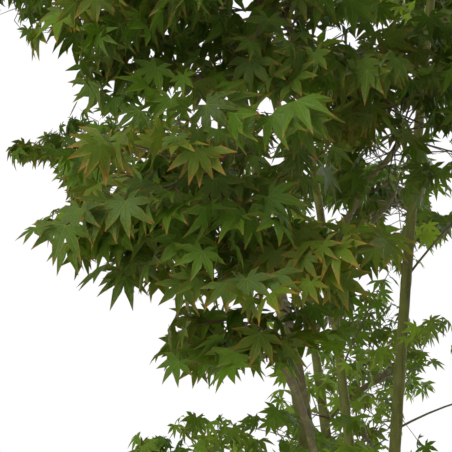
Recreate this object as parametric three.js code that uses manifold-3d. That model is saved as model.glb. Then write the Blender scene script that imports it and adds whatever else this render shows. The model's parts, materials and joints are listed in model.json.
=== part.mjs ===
// A multi-stemmed Japanese maple, rooted in the ground: a short flared trunk, upright stems,
// side boughs that carry their foliage in tiers, and one mass of foliage at the tip of each limb.
// Millimetres, +Z up. The origin is the middle of the flat cut under the trunk, at ground level.

import * as THREE from "three";
import { mergeVertices } from "three/addons/utils/BufferGeometryUtils.js";
import Module from "manifold-3d";

const wasm = await Module();
wasm.setup();

// Trunk
const FORK_HEIGHT = 560; // the top of the trunk, where the stems part
const FORK_OFFSET = new THREE.Vector2(-22, -6); // how far the trunk has leaned at the fork
const TRUNK_RADIUS = 47; // the trunk's waist
const FLARE_RADIUS = 84; // the root flare at the ground
const FLARE_HEIGHT = 70; // the height over which the flare dies away
const CROTCH_RADIUS = 60; // the swelling where the stems part
const ROOT_RIDGES = 5;
const ROOT_RIDGE_DEPTH = 0.13; // share of the radius at the ground
const TRUNK_SIDES = 12;

// Stems: compass angle in plan, lean from upright at the foot and at the tip, length, radius at the foot, and
// distance from the middle of the fork
const STEM_TIP_SHARE = 0.42; // a stem's tip radius as a share of its foot's
const STEM_SINK = 60; // how far below the fork a stem begins, inside the trunk
const STEM_WAVER = 7; // degrees that a stem's heading swings from side to side
const STEM_STEPS = 8;
const STEMS = [
  { name: "leader", heading: -10, footLean: 2.5, tipLean: 8, length: 2190, radius: 14.8, ring: 18 },
  { name: "left", heading: 178, footLean: 4, tipLean: 14, length: 1960, radius: 12.5, ring: 14 },
  { name: "front_left", heading: 238, footLean: 26, tipLean: 22, length: 1680, radius: 14.5, ring: 38 },
  { name: "front_right", heading: 308, footLean: 28, tipLean: 19, length: 1680, radius: 14.5, ring: 38 },
  { name: "back_right", heading: 32, footLean: 28, tipLean: 18, length: 1720, radius: 14.5, ring: 38 },
  { name: "back", heading: 110, footLean: 27, tipLean: 19, length: 1720, radius: 14.5, ring: 38 },
];

// Masses of foliage on side boughs: in each tier, the climb of a bough for each unit that it goes outwards,
// and for each mass its compass angle, distance from the middle of the ground cut, height and half-width
const TIERS = [
  {
    name: "low",
    climb: 0.5,
    places: [
      [217, 450, 940, 225],
      [318, 500, 1000, 270],
      [25, 530, 1040, 260],
      [86, 500, 1130, 200],
      [104, 230, 1000, 180],
    ],
  },
  {
    name: "middle",
    climb: 1.1,
    places: [
      [247.6, 925, 1495, 280],
      [245, 830, 1775, 315],
      [249, 860, 1320, 165],
      [294, 920, 1510, 350],
      [342, 930, 1590, 370],
      [28, 920, 1560, 370],
      [83, 740, 1560, 270],
      [134, 985, 1610, 240],
      [178, 470, 1530, 220],
      [262, 360, 1640, 260],
    ],
  },
  {
    name: "upper",
    climb: 0.8,
    places: [
      [150, 880, 2170, 370],
      [193, 800, 2090, 400],
      [270, 840, 2050, 370],
      [350, 900, 2080, 400],
      [72, 880, 2060, 390],
    ],
  },
  {
    name: "high",
    climb: 0.8,
    places: [
      [270, 400, 2560, 360],
      [350, 440, 2540, 370],
      [88, 420, 2550, 370],
    ],
  },
];
const TIP_REACH = 410; // half-width of the mass at a stem's tip
const FLATNESS = 1.35; // a mass is this many times wider than it is high
const ENTRY = 0.75; // a limb ends this share of the way out from the middle of its mass
const ENTRY_DROP = 0.35; // and a side bough this share below it

// Side boughs
const BOUGH_SHARE = 0.62; // a bough's foot against the stem that bears it
const BOUGH_TIP_RADIUS = 6.5;
const BOUGH_STEPS = 5;
const BOUGH_STARTS = 13; // places on a stem where a bough may start
const FIRST_START = 0.14; // the lowest of them, as a share of the stem, and the share between two of them
const START_STEP = 0.06;
const UNEVEN_CLIMB = 1.6; // how much a bough is put off by a climb that is not its tier's
const THICK_STEM = 6; // how much it is drawn to a thick part of a stem
const BOUGH_BEND = 0.45; // where it bends, as a share of its way out, and how far it has climbed there
const BOUGH_BEND_RISE = 0.72;
const LIMB_SIDES = 6;
const GAP = 0.3; // clear distance between solids that meet
const CELL_GAP = 4; // clear distance kept on each side of the border between two masses

// Foliage: each leaf stands for a spray
const LEADER_STATIONS = 8; // pairs of twigs along a mass's stem
const LEADER_RADIUS = 7.5;
const LEADER_SIDES = 4;
const LEADER_STEPS = 3;
const LEADER_NECK = 12; // straight part at the foot of a mass's stem, in line with its limb
const LEADER_BEND = 0.6; // how far it bends from that line, as a share of the way to the mass's middle
const LEADER_TIP_SHARE = 0.65;
const LEADER_REACHES = [0.45, 0.2, 0]; // how far past the middle, as a share of the way out, tried in turn
const LEADER_TURNS = [0, 20, -20, 40, -40, 60, -60]; // degrees that it is turned aside, tried in turn
const TWIG_RADIUS = 2.4;
const TWIG_ANGLE = 56; // between a twig and the stem that it leaves
const TWIG_SHARES = [1, 0.6]; // how far the twigs of every other pair go towards the edge of their space
const TWIG_ANGLE_SCATTER = 16;
const PAIR_TURN = 64; // from one pair of twigs to the next, about the stem
const PAIR_TURN_SCATTER = 40;
const EDGE = 0.97; // how far towards the edge of its space a leaf goes
const LEAF_LENGTH = 215;
const LEAST_LEAF = 90;
const LEAF_SHARE = 0.72; // a leaf's length at most, as a share of the way out
const TWIG_SHARE = 0.25; // its twig's length at least, as a share of the leaf's
const LEAF_ROLL = 50; // degrees, about its twig
const LEAF_SHRINKS = [1, 0.85, 0.7]; // tried in turn where a leaf would leave its space
const LEAF_THICKNESS = 0.017; // each side, as a share of its length
const LEAF_DROOP = 34; // degrees below its twig
const LOBE_SAG = 0.16; // how far a lobe's tip hangs, as a share of its length
const LOBES = [
  { angle: -98, length: 0.6 },
  { angle: -47, length: 0.88 },
  { angle: 0, length: 1 },
  { angle: 47, length: 0.88 },
  { angle: 98, length: 0.6 },
];
const NOTCH = 0.46; // depth to which the blade is whole, as a share of the lobes' length
const SEED = 20261;

const UP = new THREE.Vector3(0, 0, 1);
const radians = THREE.MathUtils.degToRad;
const mix = THREE.MathUtils.lerp;

// A row of random numbers from 0 to 1 that is the same on every run
function seeded(seed) {
  let state = (seed * 7919 + 104729) % 2147483647;
  return () => {
    state = (state * 16807) % 2147483647;
    return state / 2147483647;
  };
}

// The unit vector at a compass angle in plan and an angle above the level
function heading(degrees, rise = 0) {
  const a = radians(degrees);
  const r = radians(rise);
  return new THREE.Vector3(Math.cos(a) * Math.cos(r), Math.sin(a) * Math.cos(r), Math.sin(r));
}

// Solids

// A closed mesh, given by its corners and its triangles, as a solid
function solid(corners, triangles) {
  const flat = new Float32Array(corners.flatMap((p) => [p.x, p.y, p.z]));
  const geometry = new THREE.BufferGeometry();
  geometry.setAttribute("position", new THREE.BufferAttribute(flat, 3));
  geometry.setIndex(triangles.flat());
  const merged = mergeVertices(geometry, 1e-4);
  return new wasm.Manifold(
    new wasm.Mesh({
      numProp: 3,
      vertProperties: merged.attributes.position.array,
      triVerts: new Uint32Array(merged.index.array),
    }),
  );
}

function geometryOf(made) {
  const mesh = made.getMesh();
  const geometry = new THREE.BufferGeometry();
  geometry.setAttribute("position", new THREE.BufferAttribute(mesh.vertProperties, 3));
  geometry.setIndex(new THREE.BufferAttribute(mesh.triVerts, 1));
  geometry.computeVertexNormals();
  return geometry;
}

// A closed skin over rings of corners, all with the same number, with a flat cap at each end
function skin(rings) {
  const sides = rings[0].length;
  const triangles = [];
  for (let k = 0; k + 1 < rings.length; k++) {
    for (let i = 0; i < sides; i++) {
      const a = k * sides + i;
      const b = k * sides + ((i + 1) % sides);
      triangles.push([a, b, b + sides], [a, b + sides, a + sides]);
    }
  }
  const top = (rings.length - 1) * sides;
  for (let i = 1; i + 1 < sides; i++) {
    triangles.push([0, i + 1, i], [top, top + i, top + i + 1]);
  }
  return solid(rings.flat(), triangles);
}

// A tapering tube along a route of points, each with its radius; grow adds to the radius all round
function tube(route, sides, grow = 0) {
  let across = new THREE.Vector3().crossVectors(UP, directionAt(route, 0));
  if (across.length() < 0.1) across.set(0, 1, 0);
  const rings = route.map(({ point, radius }, k) => {
    const along = directionAt(route, k);
    across = across.clone().addScaledVector(along, -across.dot(along)).normalize();
    const over = new THREE.Vector3().crossVectors(along, across);
    const ring = [];
    for (let i = 0; i < sides; i++) {
      const turn = (2 * Math.PI * i) / sides;
      const spoke = across.clone().multiplyScalar(Math.cos(turn)).addScaledVector(over, Math.sin(turn));
      ring.push(point.clone().addScaledVector(spoke, radius + grow));
    }
    return ring;
  });
  return skin(rings);
}

function directionAt(route, k) {
  const before = route[Math.max(k - 1, 0)].point;
  const after = route[Math.min(k + 1, route.length - 1)].point;
  return after.clone().sub(before).normalize();
}

// Trunk

function trunkRadius(height) {
  const flare = (FLARE_RADIUS - TRUNK_RADIUS) * Math.exp((-2 * height) / FLARE_HEIGHT);
  const swell = THREE.MathUtils.smoothstep(height, 0.55 * FORK_HEIGHT, 0.95 * FORK_HEIGHT);
  return TRUNK_RADIUS + flare + (CROTCH_RADIUS - TRUNK_RADIUS) * swell;
}

function trunkSolid(grow) {
  const shares = [0, 0.04, 0.09, 0.17, 0.35, 0.6, 0.8, 0.95, 1];
  const rings = shares.map((share, k) => {
    const height = share * FORK_HEIGHT;
    const crown = k === shares.length - 1;
    const ring = [];
    for (let i = 0; i < TRUNK_SIDES; i++) {
      const turn = (2 * Math.PI * i) / TRUNK_SIDES;
      const ridge = ROOT_RIDGE_DEPTH * Math.cos(ROOT_RIDGES * turn) * Math.exp(-height / FLARE_HEIGHT);
      const radius = trunkRadius(height) * (1 + ridge) * (crown ? 0.72 : 1) + grow;
      ring.push(
        new THREE.Vector3(
          FORK_OFFSET.x * share ** 2 + radius * Math.cos(turn),
          FORK_OFFSET.y * share ** 2 + radius * Math.sin(turn),
          crown ? height + grow : height,
        ),
      );
    }
    return ring;
  });
  return skin(rings);
}

// Stems

// A stem's route: it leaves the fork leaning out, and straightens as it climbs
function stemRoute(stem) {
  const start = heading(stem.heading).multiplyScalar(stem.ring);
  const point = new THREE.Vector3(start.x + FORK_OFFSET.x, start.y + FORK_OFFSET.y, FORK_HEIGHT - STEM_SINK);
  const route = [];
  for (let k = 0; k <= STEM_STEPS; k++) {
    const share = k / STEM_STEPS;
    route.push({ point: point.clone(), radius: stem.radius * mix(1, STEM_TIP_SHARE, share ** 0.85) });
    const lean = mix(stem.footLean, stem.tipLean, share);
    const waver = STEM_WAVER * Math.sin(5 * share + stem.heading);
    point.addScaledVector(heading(stem.heading + waver, 90 - lean), stem.length / STEM_STEPS);
  }
  return route;
}

// The point, radius and direction of a route at a share of its length
function along(route, share) {
  const place = share * (route.length - 1);
  const k = Math.min(Math.floor(place), route.length - 2);
  return {
    point: route[k].point.clone().lerp(route[k + 1].point, place - k),
    radius: mix(route[k].radius, route[k + 1].radius, place - k),
    direction: route[k + 1].point.clone().sub(route[k].point).normalize(),
  };
}

// Masses of foliage: each has a middle, a half-width, the point where its limb ends and that limb's direction

function tierMasses({ name, climb, places }) {
  return places.map(([turn, distance, height, reach], k) => {
    const out = heading(turn);
    const centre = out.clone().multiplyScalar(distance).setZ(height);
    const entry = centre.clone().addScaledVector(out, -ENTRY * reach);
    entry.z -= (ENTRY_DROP * reach) / FLATNESS;
    return { name: `${name}_${k + 1}`, centre, reach, entry, out, climb };
  });
}

function tipMass(stem, route) {
  const end = along(route, 1);
  const centre = end.point.clone().addScaledVector(end.direction, (ENTRY * TIP_REACH) / FLATNESS);
  return {
    name: `tip_${stem.name}`,
    centre,
    reach: TIP_REACH,
    entry: end.point,
    direction: end.direction,
    out: end.direction,
  };
}

// The route of a side bough: from the stem that lets it climb most evenly, up and out to its mass
function boughRoute(mass, stems) {
  const starts = stems.flatMap((stem) => {
    return Array.from({ length: BOUGH_STARTS }, (_, k) => along(stem.route, FIRST_START + START_STEP * k));
  });
  const cost = ({ point, radius }) => {
    const run = Math.hypot(mass.entry.x - point.x, mass.entry.y - point.y);
    return run + UNEVEN_CLIMB * Math.abs(mass.entry.z - point.z - mass.climb * run) - THICK_STEM * radius;
  };
  const start = starts.reduce((best, next) => (cost(next) < cost(best) ? next : best));
  const bend = start.point.clone().lerp(mass.entry, BOUGH_BEND);
  bend.z = mix(start.point.z, mass.entry.z, BOUGH_BEND_RISE);
  const curve = new THREE.QuadraticBezierCurve3(start.point, bend, mass.entry);
  return curve.getPoints(BOUGH_STEPS).map((point, k) => ({
    point,
    radius: mix(BOUGH_SHARE * start.radius, BOUGH_TIP_RADIUS, k / BOUGH_STEPS),
  }));
}

// A mass's space is flat above and below, and ends where a neighbour's begins. Heights are stretched by
// FLATNESS so that it is a ball cut by planes: each plane keeps the points whose product with its normal is
// under its limit.
const stretched = (p) => new THREE.Vector3(p.x, p.y, p.z * FLATNESS);

function bounded(mass, masses) {
  const middle = stretched(mass.centre);
  const near = (other) => stretched(other.centre).distanceTo(middle) < other.reach + mass.reach;
  mass.planes = masses
    .filter((other) => other !== mass && near(other))
    .map((other) => {
      const far = stretched(other.centre);
      const normal = far.clone().sub(middle);
      const between = (far.lengthSq() - middle.lengthSq() - other.reach ** 2 + mass.reach ** 2) / 2;
      return { normal, limit: between - CELL_GAP * normal.length() };
    });
  mass.middle = middle;
  return mass;
}

function holds(mass, point) {
  const p = stretched(point);
  if (p.distanceTo(mass.middle) > mass.reach) return false;
  return mass.planes.every(({ normal, limit }) => normal.dot(p) <= limit);
}

// How far a straight line can go from a point before it leaves the mass's space
function room(mass, point, direction) {
  const p = stretched(point);
  const d = stretched(direction);
  const from = p.clone().sub(mass.middle);
  const half = from.dot(d) / d.lengthSq();
  const rest = (mass.reach ** 2 - from.lengthSq()) / d.lengthSq();
  let far = half ** 2 + rest > 0 ? Math.sqrt(half ** 2 + rest) - half : 0;
  for (const { normal, limit } of mass.planes) {
    const speed = normal.dot(d);
    if (speed > 0) far = Math.min(far, (limit - normal.dot(p)) / speed);
  }
  return Math.max(far, 0);
}

// The stem of a mass: it goes on from its limb, through the middle and on towards the far side, and where
// a limb is in its way it is turned aside or cut short
function massStem(mass, limbs) {
  const start = mass.entry.clone().addScaledVector(mass.direction, GAP);
  const neck = start.clone().addScaledVector(mass.direction, LEADER_NECK);
  const through = mass.centre.clone().sub(start);
  const radius = Math.min(LEADER_RADIUS, mass.limbRadius);
  for (const reach of LEADER_REACHES) {
    for (const turn of LEADER_TURNS) {
      const ahead = through.clone().applyAxisAngle(UP, radians(turn));
      const middle = start.clone().add(ahead);
      ahead.normalize();
      const bend = start.clone().addScaledVector(mass.direction, LEADER_BEND * through.length());
      const end = middle.clone().addScaledVector(ahead, reach * room(mass, middle, ahead));
      const curve = new THREE.QuadraticBezierCurve3(neck, bend, end);
      const route = [start, ...curve.getPoints(LEADER_STEPS)].map((point, k) => ({
        point,
        radius: mix(radius, LEADER_TIP_SHARE * LEADER_RADIUS, Math.max(k - 1, 0) / LEADER_STEPS),
      }));
      const inside = route.slice(1).every(({ point }) => holds(mass, point));
      if (inside && tube(route, 3).minGap(limbs, 1) > 0.9 * GAP) return route;
    }
  }
  throw new Error(`no clear way for the stem of ${mass.name}`);
}

// The twigs of a mass: one at the end of its stem, and pairs along it, each turned about the stem from the
// pair before. Every other pair is short, so that the inside of the mass has leaves too.
function twigs(mass, random) {
  const end = along(mass.stem, 0.98);
  const made = [{ root: end.point, direction: end.direction, share: 1 }];
  const neckEnd = 1 / (LEADER_STEPS + 1);
  for (let k = 0; k < LEADER_STATIONS; k++) {
    const at = along(mass.stem, mix(neckEnd, 1, (k + 0.5) / LEADER_STATIONS));
    const level = new THREE.Vector3().crossVectors(UP, at.direction);
    if (level.length() < 0.1) level.crossVectors(mass.out, at.direction);
    const turn = PAIR_TURN * k + PAIR_TURN_SCATTER * (random() - 0.5);
    for (const side of [0, 180]) {
      const out = level.clone().normalize().applyAxisAngle(at.direction, radians(turn + side));
      const direction = leaving(at.direction, out, TWIG_ANGLE + TWIG_ANGLE_SCATTER * (random() - 0.5));
      made.push({ root: at.point, direction, share: TWIG_SHARES[k % TWIG_SHARES.length] });
    }
  }
  return made;
}

// The direction at an angle to a stem, on the side that out points to
function leaving(stem, out, degrees) {
  const across = out.clone().addScaledVector(stem, -out.dot(stem)).normalize();
  const angle = radians(degrees);
  return stem.clone().multiplyScalar(Math.cos(angle)).addScaledVector(across, Math.sin(angle));
}

// A twig with a lobed leaf at its end, as one closed solid, and the points that have to stay in the mass's
// space
function leafyTwig(root, direction, twigLength, leafLength, roll) {
  const base = root.clone().addScaledVector(direction, twigLength);
  const side = new THREE.Vector3().crossVectors(UP, direction);
  if (side.length() < 0.05) side.set(0, 1, 0);
  side.normalize();
  const forward = direction.clone().applyAxisAngle(side, radians(LEAF_DROOP));
  side.applyAxisAngle(forward, radians(roll));
  const face = new THREE.Vector3().crossVectors(forward, side);
  const blade = (x, y, z) =>
    base
      .clone()
      .addScaledVector(forward, x * leafLength)
      .addScaledVector(side, y * leafLength)
      .addScaledVector(face, z * leafLength);
  const rim = [blade(0, -TWIG_RADIUS / leafLength, 0)];
  LOBES.forEach(({ angle, length }, k) => {
    const a = radians(angle);
    rim.push(blade(length * Math.cos(a), length * Math.sin(a), -LOBE_SAG * length));
    const next = LOBES[k + 1];
    if (next) {
      const b = radians((angle + next.angle) / 2);
      const depth = (NOTCH * (length + next.length)) / 2;
      rim.push(blade(depth * Math.cos(b), depth * Math.sin(b), -LOBE_SAG * depth ** 2));
    }
  });
  rim.push(blade(0, TWIG_RADIUS / leafLength, 0));
  const hub = blade(0.1, 0, LEAF_THICKNESS);
  const keel = blade(0, 0, -LEAF_THICKNESS);
  const foot = [
    root.clone().addScaledVector(side, -TWIG_RADIUS),
    root.clone().addScaledVector(side, TWIG_RADIUS),
    root.clone().addScaledVector(face, -LEAF_THICKNESS * leafLength),
  ];
  const corners = [...rim, hub, keel, ...foot];
  const last = rim.length - 1;
  const [top, under, right, left, below] = [last + 1, last + 2, last + 3, last + 4, last + 5];
  const triangles = [
    [top, last, 0],
    [right, 0, last],
    [right, last, left],
    [left, last, under],
    [left, under, below],
    [right, below, under],
    [right, under, 0],
    [right, left, below],
  ];
  for (let i = 0; i < last; i++) triangles.push([top, i, i + 1], [under, i + 1, i]);
  return { made: solid(corners, triangles), kept: [...rim, hub, keel] };
}

// A mass of foliage: its stem, with each leafy twig fused on that stays in its space and touches no limb or
// leaf
function massSolid(mass, limbs, random) {
  let grown = tube(mass.stem, LEADER_SIDES);
  for (const { root, direction, share } of twigs(mass, random)) {
    const far = share * room(mass, root, direction);
    const roll = LEAF_ROLL * (random() - 0.5);
    for (const shrink of LEAF_SHRINKS) {
      const leaf = Math.min(LEAF_LENGTH, LEAF_SHARE * far) * shrink;
      if (leaf < LEAST_LEAF) break;
      const twig = Math.max(EDGE * far - leaf, TWIG_SHARE * leaf);
      const { made, kept } = leafyTwig(root, direction, twig, leaf, roll);
      if (!kept.every((p) => holds(mass, p)) || made.minGap(limbs, 2) < 1) continue;
      if (grown.intersect(made).decompose().length !== 1) continue;
      grown = grown.add(made);
      break;
    }
  }
  return grown;
}

// Assembly

const bark = new THREE.MeshStandardMaterial({ color: 0x5d5636, roughness: 0.8, metalness: 0 });
const youngBark = new THREE.MeshStandardMaterial({ color: 0x5a4a2c, roughness: 0.7, metalness: 0 });
const greens = [0x2f5a1e, 0x3a6a22, 0x274f1c].map(
  (color) => new THREE.MeshStandardMaterial({ color, roughness: 0.55, metalness: 0 }),
);

const tree = new THREE.Group();
const wood = new THREE.Group();
const foliage = new THREE.Group();
tree.add(wood, foliage);

function add(group, name, made, material) {
  const mesh = new THREE.Mesh(geometryOf(made), material);
  mesh.name = name;
  group.add(mesh);
}

const stems = STEMS.map((stem) => ({ ...stem, route: stemRoute(stem) }));
const sideMasses = TIERS.flatMap(tierMasses);
const tipMasses = stems.map((stem) => tipMass(stem, stem.route));

const limbs = stems.map(({ name, route }) => ({ name: `stem_${name}`, route, material: bark }));
for (const mass of sideMasses) {
  const route = boughRoute(mass, stems);
  mass.direction = along(route, 1).direction;
  mass.limbRadius = route.at(-1).radius;
  limbs.push({ name: `bough_${mass.name}`, route, material: youngBark });
}
tipMasses.forEach((mass, k) => (mass.limbRadius = stems[k].route.at(-1).radius));

// Each limb is cut clear of the trunk and of the limbs before it
add(wood, "trunk", trunkSolid(0), bark);
let taken = trunkSolid(GAP);
const made = [trunkSolid(0)];
for (const { name, route, material } of limbs) {
  const pieces = tube(route, LIMB_SIDES).subtract(taken).decompose();
  const limb = pieces.reduce((best, next) => (next.volume() > best.volume() ? next : best));
  add(wood, name, limb, material);
  made.push(limb);
  taken = taken.add(tube(route, LIMB_SIDES, GAP));
}
const bare = wasm.Manifold.union(made);

const masses = [...sideMasses, ...tipMasses];
masses.forEach((mass) => bounded(mass, masses));
masses.forEach((mass, k) => {
  mass.stem = massStem(mass, bare);
  const grown = massSolid(mass, bare, seeded(SEED + 31 * (k + 1)));
  add(foliage, `foliage_${mass.name}`, grown, greens[k % greens.length]);
});

export default tree;
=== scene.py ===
"""A multi-stemmed Japanese maple: bark with relief on the trunk, stems and boughs, and a crown of
twigs, leaf stalks and lobed leaves that grow on from the limbs by the same rule as the solids.
Metres, +Z up. The origin is the middle of the flat cut under the trunk, at ground level."""

import json
import math
from collections import defaultdict
from functools import lru_cache
from itertools import product
from typing import NamedTuple

import bmesh
import bpy
import numpy as np
from bpy.props import FloatProperty, FloatVectorProperty, PointerProperty
from mathutils import Matrix, Quaternion, Vector
from mathutils.bvhtree import BVHTree

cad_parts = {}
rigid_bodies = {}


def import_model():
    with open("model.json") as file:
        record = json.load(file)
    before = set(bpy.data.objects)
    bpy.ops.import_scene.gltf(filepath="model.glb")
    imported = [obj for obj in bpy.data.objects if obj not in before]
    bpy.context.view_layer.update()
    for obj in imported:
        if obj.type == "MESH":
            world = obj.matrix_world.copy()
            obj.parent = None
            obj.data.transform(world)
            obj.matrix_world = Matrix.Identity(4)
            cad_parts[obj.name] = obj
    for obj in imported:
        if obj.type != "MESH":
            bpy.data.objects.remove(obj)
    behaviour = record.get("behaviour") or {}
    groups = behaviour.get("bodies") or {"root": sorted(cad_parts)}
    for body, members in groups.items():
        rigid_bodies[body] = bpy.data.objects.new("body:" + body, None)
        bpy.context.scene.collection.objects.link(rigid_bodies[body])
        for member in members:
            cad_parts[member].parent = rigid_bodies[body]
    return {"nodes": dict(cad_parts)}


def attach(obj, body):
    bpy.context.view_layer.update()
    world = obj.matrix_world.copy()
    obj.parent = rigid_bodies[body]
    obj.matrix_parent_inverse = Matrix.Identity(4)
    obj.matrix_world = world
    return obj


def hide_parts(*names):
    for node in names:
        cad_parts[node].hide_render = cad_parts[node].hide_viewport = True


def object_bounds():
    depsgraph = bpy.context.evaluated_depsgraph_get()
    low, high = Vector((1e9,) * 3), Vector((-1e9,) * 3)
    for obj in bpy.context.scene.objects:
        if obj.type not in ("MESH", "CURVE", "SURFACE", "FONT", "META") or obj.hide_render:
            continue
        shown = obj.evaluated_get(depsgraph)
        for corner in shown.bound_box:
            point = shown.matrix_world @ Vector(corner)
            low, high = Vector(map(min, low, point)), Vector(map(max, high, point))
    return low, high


bl_info = {
    "name": "Japanese Maple",
    "version": (1, 0, 0),
    "blender": (4, 5, 0),
    "location": "3D View > Sidebar > Maple",
    "description": "Grows a Japanese maple with bark, twigs and leaves on its frame",
    "category": "Object",
}

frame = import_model()
CAD_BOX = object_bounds()

# The rule of growth, as in the solids

FORK_HEIGHT = 0.560
FORK_OFFSET = (-0.022, -0.006)
TRUNK_RADIUS = 0.047
FLARE_RADIUS = 0.084
FLARE_HEIGHT = 0.070
CROTCH_RADIUS = 0.060
ROOT_RIDGES = 5
ROOT_RIDGE_DEPTH = 0.13

STEM_TIP_SHARE = 0.42
STEM_TAPER = 0.85  # below 1, a stem thins sooner
STEM_SINK = 0.060
STEM_WAVER = 7  # degrees to either side
STEM_WAVES = 5  # how fast it wavers, in radians over its length
STEM_STEPS = 8


class Stem(NamedTuple):
    """Compass angle in plan, lean from upright at the foot and at the tip, length, radius at the foot,
    and distance from the middle of the fork"""

    name: str
    heading: float
    foot_lean: float
    tip_lean: float
    length: float
    radius: float
    ring: float


STEMS = (
    Stem("leader", -10, 2.5, 8, 2.190, 0.0148, 0.018),
    Stem("left", 178, 4, 14, 1.960, 0.0125, 0.014),
    Stem("front_left", 238, 26, 22, 1.680, 0.0145, 0.038),
    Stem("front_right", 308, 28, 19, 1.680, 0.0145, 0.038),
    Stem("back_right", 32, 28, 18, 1.720, 0.0145, 0.038),
    Stem("back", 110, 27, 19, 1.720, 0.0145, 0.038),
)


class Tier(NamedTuple):
    """The climb of its boughs, and each mass's compass angle, distance out, height and half-width"""

    name: str
    climb: float
    places: tuple


TIERS = (
    Tier(
        "low",
        0.5,
        (
            (217, 0.45, 0.94, 0.225),
            (318, 0.50, 1.00, 0.27),
            (25, 0.53, 1.04, 0.26),
            (86, 0.50, 1.13, 0.20),
            (104, 0.23, 1.00, 0.18),
        ),
    ),
    Tier(
        "middle",
        1.1,
        (
            (247.6, 0.925, 1.495, 0.28),
            (245, 0.83, 1.775, 0.315),
            (249, 0.86, 1.320, 0.165),
            (294, 0.92, 1.51, 0.35),
            (342, 0.93, 1.59, 0.37),
            (28, 0.92, 1.56, 0.37),
            (83, 0.74, 1.56, 0.27),
            (134, 0.985, 1.61, 0.24),
            (178, 0.47, 1.53, 0.22),
            (262, 0.36, 1.64, 0.26),
        ),
    ),
    Tier(
        "upper",
        0.8,
        (
            (150, 0.88, 2.17, 0.37),
            (193, 0.80, 2.09, 0.40),
            (270, 0.84, 2.05, 0.37),
            (350, 0.90, 2.08, 0.40),
            (72, 0.88, 2.06, 0.39),
        ),
    ),
    Tier("high", 0.8, ((270, 0.40, 2.56, 0.36), (350, 0.44, 2.54, 0.37), (88, 0.42, 2.55, 0.37))),
)
TIP_REACH = 0.410
FLATNESS = 1.35
ENTRY = 0.75
ENTRY_DROP = 0.35

BOUGH_SHARE = 0.62
BOUGH_TIP_RADIUS = 0.0065
BOUGH_STEPS = 5
BOUGH_STARTS = 13
FIRST_START = 0.14
START_STEP = 0.06
UNEVEN_CLIMB = 1.6
THICK_STEM = 6
BOUGH_BEND = 0.45
BOUGH_BEND_RISE = 0.72
GAP = 0.0003
CELL_GAP = 0.004

LEADER_STATIONS = 8
LEADER_RADIUS = 0.0075
LEADER_STEPS = 3
LEADER_NECK = 0.012
LEADER_BEND = 0.6
LEADER_REACHES = (0.45, 0.2, 0)
LEADER_TURNS = (0, 20, -20, 40, -40, 60, -60)
TWIG_ANGLE = 56
TWIG_ANGLE_SCATTER = 16
TWIG_SHARES = (1, 0.6)
PAIR_TURN = 64
PAIR_TURN_SCATTER = 40
EDGE = 0.97
SEED = 20261
MASS_SEEDS = 31  # how far apart the seeds of one kind are
SIDE_TWIG_SEEDS = 47
BRANCHLET_SEEDS = 59
SHOWN_TWIG_SEEDS = 67
SEED_STEP = 7919  # the row of random numbers starts from the seed by these two,
SEED_START = 104729
DRAW_STEP = 16807  # and each of its numbers follows from the one before by these
DRAW_LIMIT = 2147483647

# What is finer than the solids

LEADER_TIP_RADIUS = 0.0022
BRANCHLET_RADII = (0.0030, 0.0011)
TWIG_RADII = (0.0022, 0.0009)
SHOOT_RADII = (0.0012, 0.0006)
STALK_RADIUS = 0.0006
STALK_LENGTH = 0.028
STALK_SCATTER = (0.6, 1.7)
STALK_RISE = 0.25
RING_STEP = 0.010  # from one ring of a limb's skin to the next

TWIG_FOOT_SHARE = 0.7  # the most that a twig's foot takes of the thickness of what bears it
SHORTEST_TWIG = 0.03
LAST_TWIG = 0.98  # where the twig at the end of a mass's stem starts, as a share of that stem
TWIG_SWAY = 0.12
LEAF_HANG = (0.8, 0.2)  # leaves' lengths kept free past the end of a level and of an upright twig
SHOOT_SHARE = 0.5  # a side shoot's length as a share of what is left of its twig
SHOOT_BASE = 0.02  # and a length that each one has besides
SHOOT_SCATTER = (0.7, 1.1)
SHOOT_ANGLES = (42, 62)  # from its twig
SHOOT_TILT = 0.35  # how far the pairs tilt out of the level at random,
SHOOT_TILT_DOWN = 0.4  # and the share of them that tilt down
SHOOT_INTERNODE = 0.85  # as shares of a twig's: from one pair of a shoot's leaves to the next,
LEAST_SHOOT = 0.8  # and the shortest shoot, below which a leaf stands in its place
LONGEST_SHOOT = 0.17
SHOOT_SAG = 1.6  # how much more a shoot sags than a twig
ODD_SHOOTS = 0.3  # share of the shoots whose tint is not their twig's

SIDE_TWIGS = 7  # on the bare stretch of each stem
SIDE_TWIG_STRETCH = (0.16, 0.62)  # where that stretch lies, as shares of the stem
SIDE_TWIG_TURN = 137
SIDE_TWIG_SCATTER = 70
SIDE_TWIG_ANGLE = 52
SIDE_TWIG_LENGTHS = (0.08, 0.24)

# Painted light: the low masses get mostly the lighter tints, so that the low crown looks brighter lit
LOW_CROWN = 1.2  # a mass whose middle is lower has smaller leaves, mostly of the light tints
LOW_LEAF_SHARE = 0.74
LEAF_TILT = 0.5  # how far the leaves along a shoot tilt out of the level at random,
LEAF_TILT_DOWN = 0.3  # and the share of them that tilt down
LEAF_ANGLES = (45, 70)  # from its shoot, along it
END_LEAF_ANGLES = (8, 30)  # and at its end
LEAF_SIZES = (0.62, 1.14)  # as shares of the usual length
LEAF_SIZE_LEAN = 0.8  # below 1, more of the leaves are large
LEAF_OUTWARD = 0.45  # how much a leaf turns outwards,
LEAF_CHANCE = 1.15  # and how much at random, where its stalk's way has 1
AXIS_ROOM = 0.05  # a leaf nearer to the trunk's axis has no outward side
LEAF_ROLL = 140
LEAF_MIDDLE = 0.45  # how far its middle is from its foot, as a share of its length,
LEAF_REACH = 0.58  # and how far its lobes reach from there
LEAF_OVERHANG = 0.012  # how far a leaf's tip may stand out of its mass's space
BOX_ROOM = 0.030  # and a leaf out of the solids' box
LEAF_ROOM = 0.019  # least distance between the middles of two leaves,
LIMB_ROOM = 0.007  # from a leaf to a limb,
TWIG_ROOM = 0.004  # from a twig to a limb,
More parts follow.
